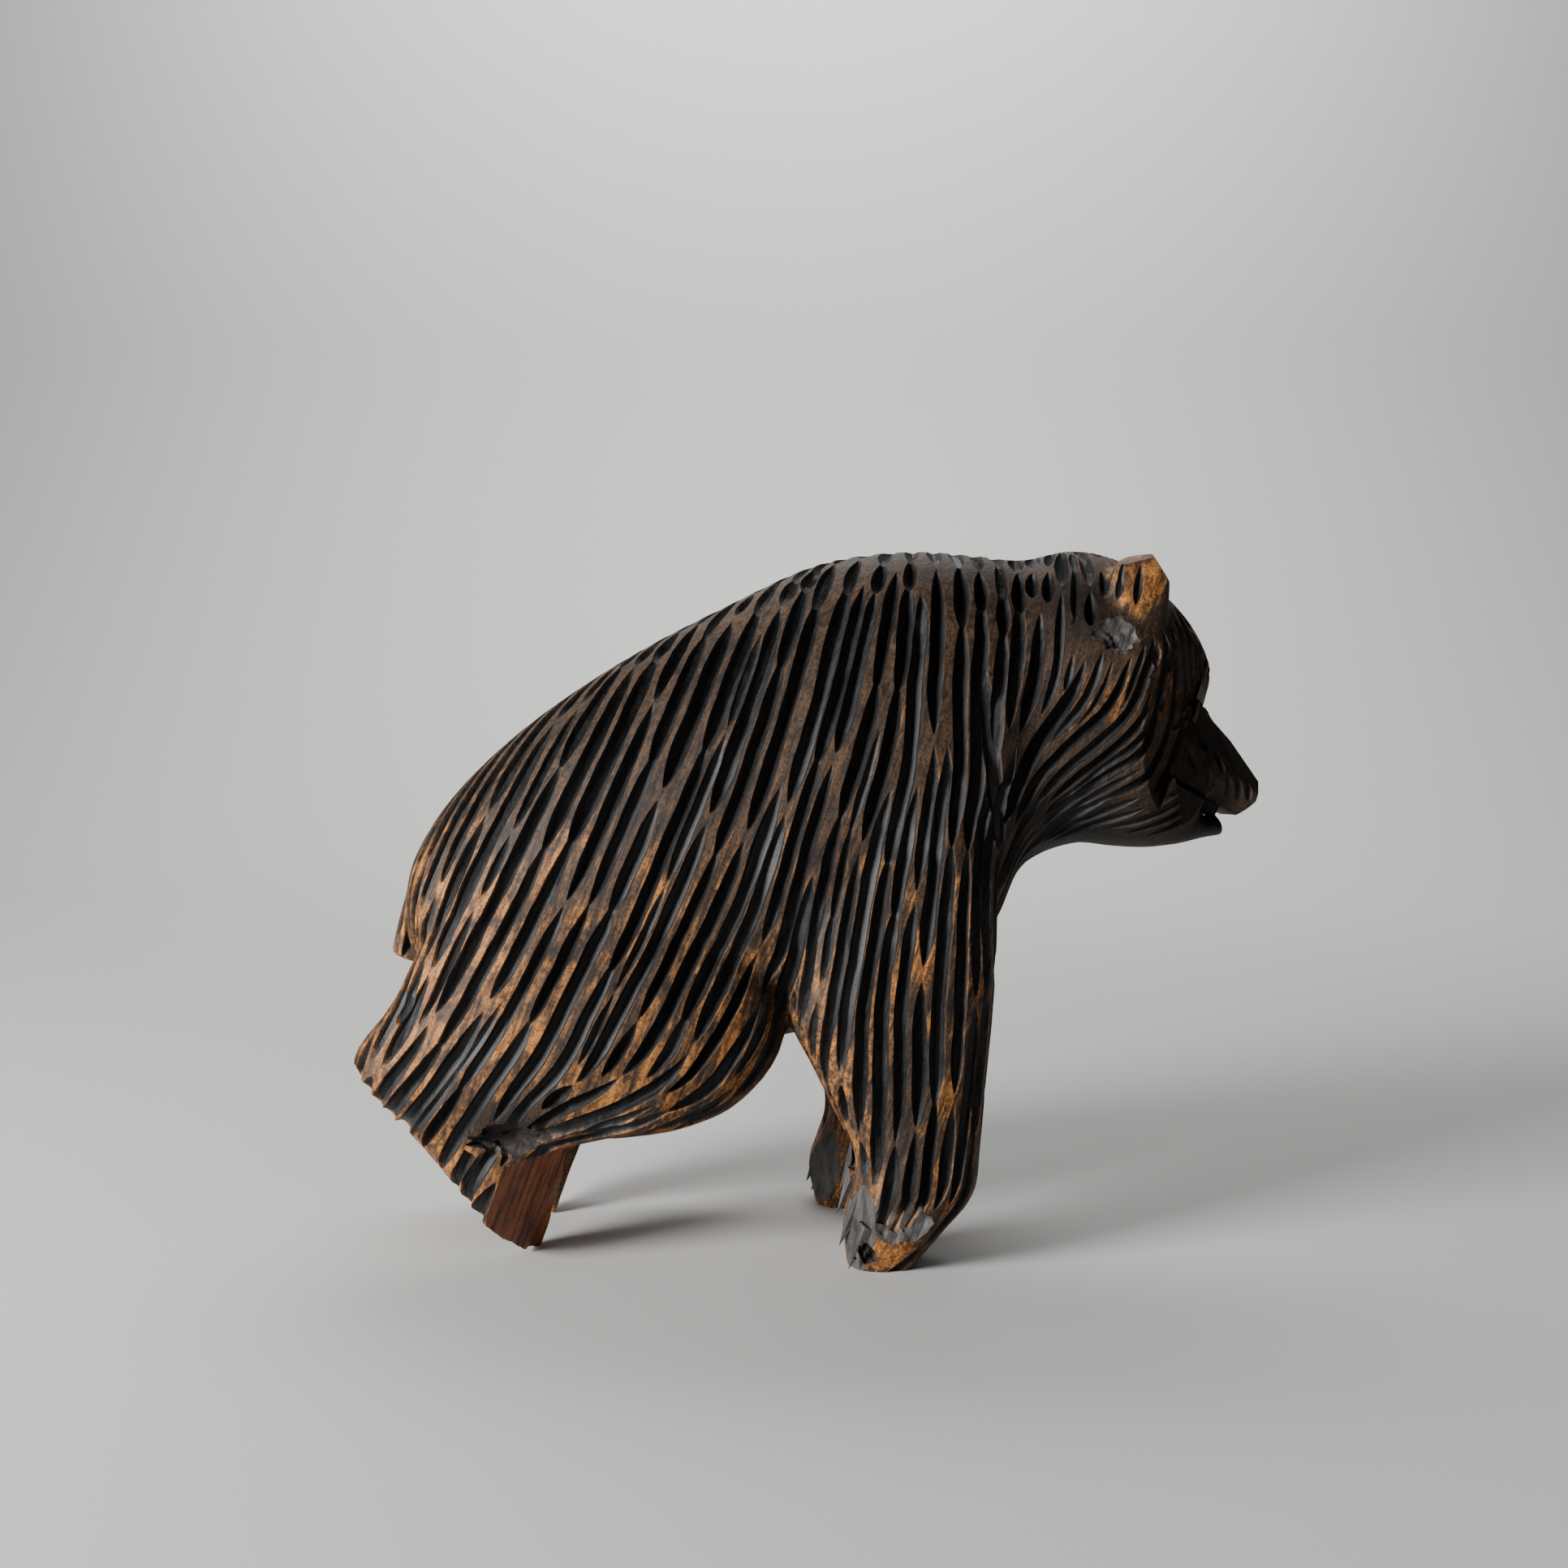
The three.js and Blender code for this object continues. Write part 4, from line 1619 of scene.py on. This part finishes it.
class Bear:
    """The one carved piece."""

    def __init__(self) -> None:
        """Make the finishes, in the order of their slots."""
        grain = grain_group()
        self.slots = [
            CarvedWood().build(grain),
            SPLIT_WOOD.build(grain),
            PALM_WOOD.build(grain),
            HOLLOW_SHADE_WOOD.build(grain),
        ]

    def build(self) -> bpy.types.Object:
        """Rough out, cut and carve the bear.

        Returns:
            The finished piece.
        """
        bear = Blank().build(self.slots)
        bear.name = "bear_carving"
        Feet().cut(bear, self.slots)
        Muzzle().cut(bear, self.slots)
        Ears().cut(bear, self.slots)
        Forepaws().cut(bear, self.slots)
        LOG.info("blank: %d faces", len(bear.data.polygons))
        comb = Comb()
        comb.read(bear)
        marks = hand_strokes(comb.tree, HAND_MARKS)
        strokes = comb.lay()
        LOG.info("fur: %d strokes and %d marks", len(strokes), len(marks))
        Gouge().carve(bear, [*strokes, *marks], self.slots)
        self.write_depth(bear, comb.tree)
        only(bear)
        bpy.ops.object.shade_smooth_by_angle(angle=math.radians(38))
        return bear

    def write_depth(self, bear: bpy.types.Object, tree: BVHTree) -> None:
        """Keep how deep each point lies under the uncut wood, in millimetres, for the finish, and how worn the
        stain is there, with the painted shade of the muzzle, jaw and neck as negative values.

        Args:
            bear: The carved piece.
            tree: The surface of the blank.
        """
        depths = [tree.find_nearest(vertex.co)[3] / MM for vertex in bear.data.vertices]
        bear.data.attributes.new("depth", "FLOAT", "POINT").data.foreach_set("value", depths)
        # Worn stain, and painted shade on the muzzle, under the jaw and on the neck, as negative values.
        rubbing_and_shade = [rubbing_and_shade_at(vertex.co) for vertex in bear.data.vertices]
        bear.data.attributes.new("rubbing_and_shade", "FLOAT", "POINT").data.foreach_set("value", rubbing_and_shade)


@dataclass
class Studio:
    """The pale floor, the soft light from the left and the camera."""

    floor_half: float = 2.5
    floor_colour: Colour = (0.5, 0.497, 0.488)
    camera_place: tuple[float, float, float] = (-0.009706, -0.417, 0.1176)
    lens: float = 36.15
    window_place: tuple[float, float, float] = (-0.88, -0.6, 0.36)
    window_size: float = 0.4
    window_power: float = 34.0
    fill_place: tuple[float, float, float] = (0.2, -1.0, 0.6)
    fill_size: float = 0.9
    fill_power: float = 0.2
    wall_lamp_place: tuple[float, float, float] = (0.0, 1.2, 1.9)
    wall_lamp_size: float = 1.6
    wall_lamp_power: float = 60.0
    wall_distance: float = 2.0
    wall_bend: float = 0.8
    sky: Colour = (0.86, 0.92, 1.0)
    sky_strength: float = 0.04

    def build(self) -> None:
        """Set up the floor, the lights, the sky and the camera."""
        self.floor()
        self.light("window", self.window_place, self.window_size, self.window_power)
        self.light("fill", self.fill_place, self.fill_size, self.fill_power)
        self.light("wall_lamp", self.wall_lamp_place, self.wall_lamp_size, self.wall_lamp_power, (0, 2.0, 0.9))
        world = bpy.data.worlds.new("sky")
        world.use_nodes = True
        sheet = NodeSheet(world.node_tree)
        sky = sheet.add("ShaderNodeBackground", {"Color": (*self.sky, 1.0), "Strength": self.sky_strength})
        sheet.add("ShaderNodeOutputWorld", {"Surface": sky.outputs[0]})
        bpy.context.scene.world = world
        camera = bpy.data.objects.new("camera", bpy.data.cameras.new("camera"))
        bpy.context.collection.objects.link(camera)
        camera.location = self.camera_place
        camera.rotation_euler = (math.radians(90), 0, 0)
        camera.data.lens = self.lens
        camera.data.sensor_width = 36.0
        camera.data.clip_start = 0.01
        bpy.context.scene.camera = camera

    def floor(self) -> None:
        """Make the floor, with its back edge swept up into a backdrop."""
        bpy.ops.object.select_all(action="DESELECT")
        bpy.ops.mesh.primitive_plane_add(size=2 * self.floor_half)
        floor = bpy.context.object
        floor.name = "floor"
        bpy.ops.object.mode_set(mode="EDIT")
        bpy.ops.mesh.select_all(action="DESELECT")
        bpy.ops.object.mode_set(mode="OBJECT")
        for vertex in floor.data.vertices:
            if vertex.co.y > 0:
                vertex.co.y = self.wall_distance
        for edge in floor.data.edges:
            edge.select = all(floor.data.vertices[end].co.y > 0 for end in edge.vertices)
        bpy.ops.object.mode_set(mode="EDIT")
        bpy.ops.mesh.extrude_edges_move(TRANSFORM_OT_translate={"value": (0, 0, 2 * self.wall_distance)})
        bpy.ops.object.mode_set(mode="OBJECT")
        apply_modifier(floor, "BEVEL", width=self.wall_bend, segments=16, limit_method="ANGLE")
        bpy.ops.object.shade_smooth()
        material = bpy.data.materials.new("pale_floor")
        material.use_nodes = True
        shader = material.node_tree.nodes["Principled BSDF"]
        shader.inputs["Base Color"].default_value = (*self.floor_colour, 1.0)
        shader.inputs["Roughness"].default_value = 0.75
        floor.data.materials.append(material)

    def light(
        self,
        name: str,
        place: tuple[float, float, float],
        size: float,
        power: float,
        target: tuple[float, float, float] = (0, 0, 0.09),
    ) -> None:
        """Hang a soft square lamp.

        Args:
            name: The lamp's name.
            place: Where it hangs.
            size: The length of its sides.
            power: Its power in watts.
            target: The point that it faces.
        """
        lamp = bpy.data.lights.new(name, "AREA")
        lamp.size = size
        lamp.energy = power
        holder = bpy.data.objects.new(name, lamp)
        bpy.context.collection.objects.link(holder)
        holder.location = place
        holder.rotation_euler = (Vector(target) - Vector(place)).to_track_quat("-Z", "Y").to_euler()


def main() -> None:
    """Build the bear and the studio."""
    logging.basicConfig(level=logging.INFO, format="%(name)s: %(message)s", force=True)
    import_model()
    bear = Bear().build()
    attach(bear, "root")
    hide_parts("bear")
    bear.data.calc_loop_triangles()
    LOG.info("bear: %d triangles", len(bear.data.loop_triangles))
    Studio().build()


if __name__ == "__main__":
    main()
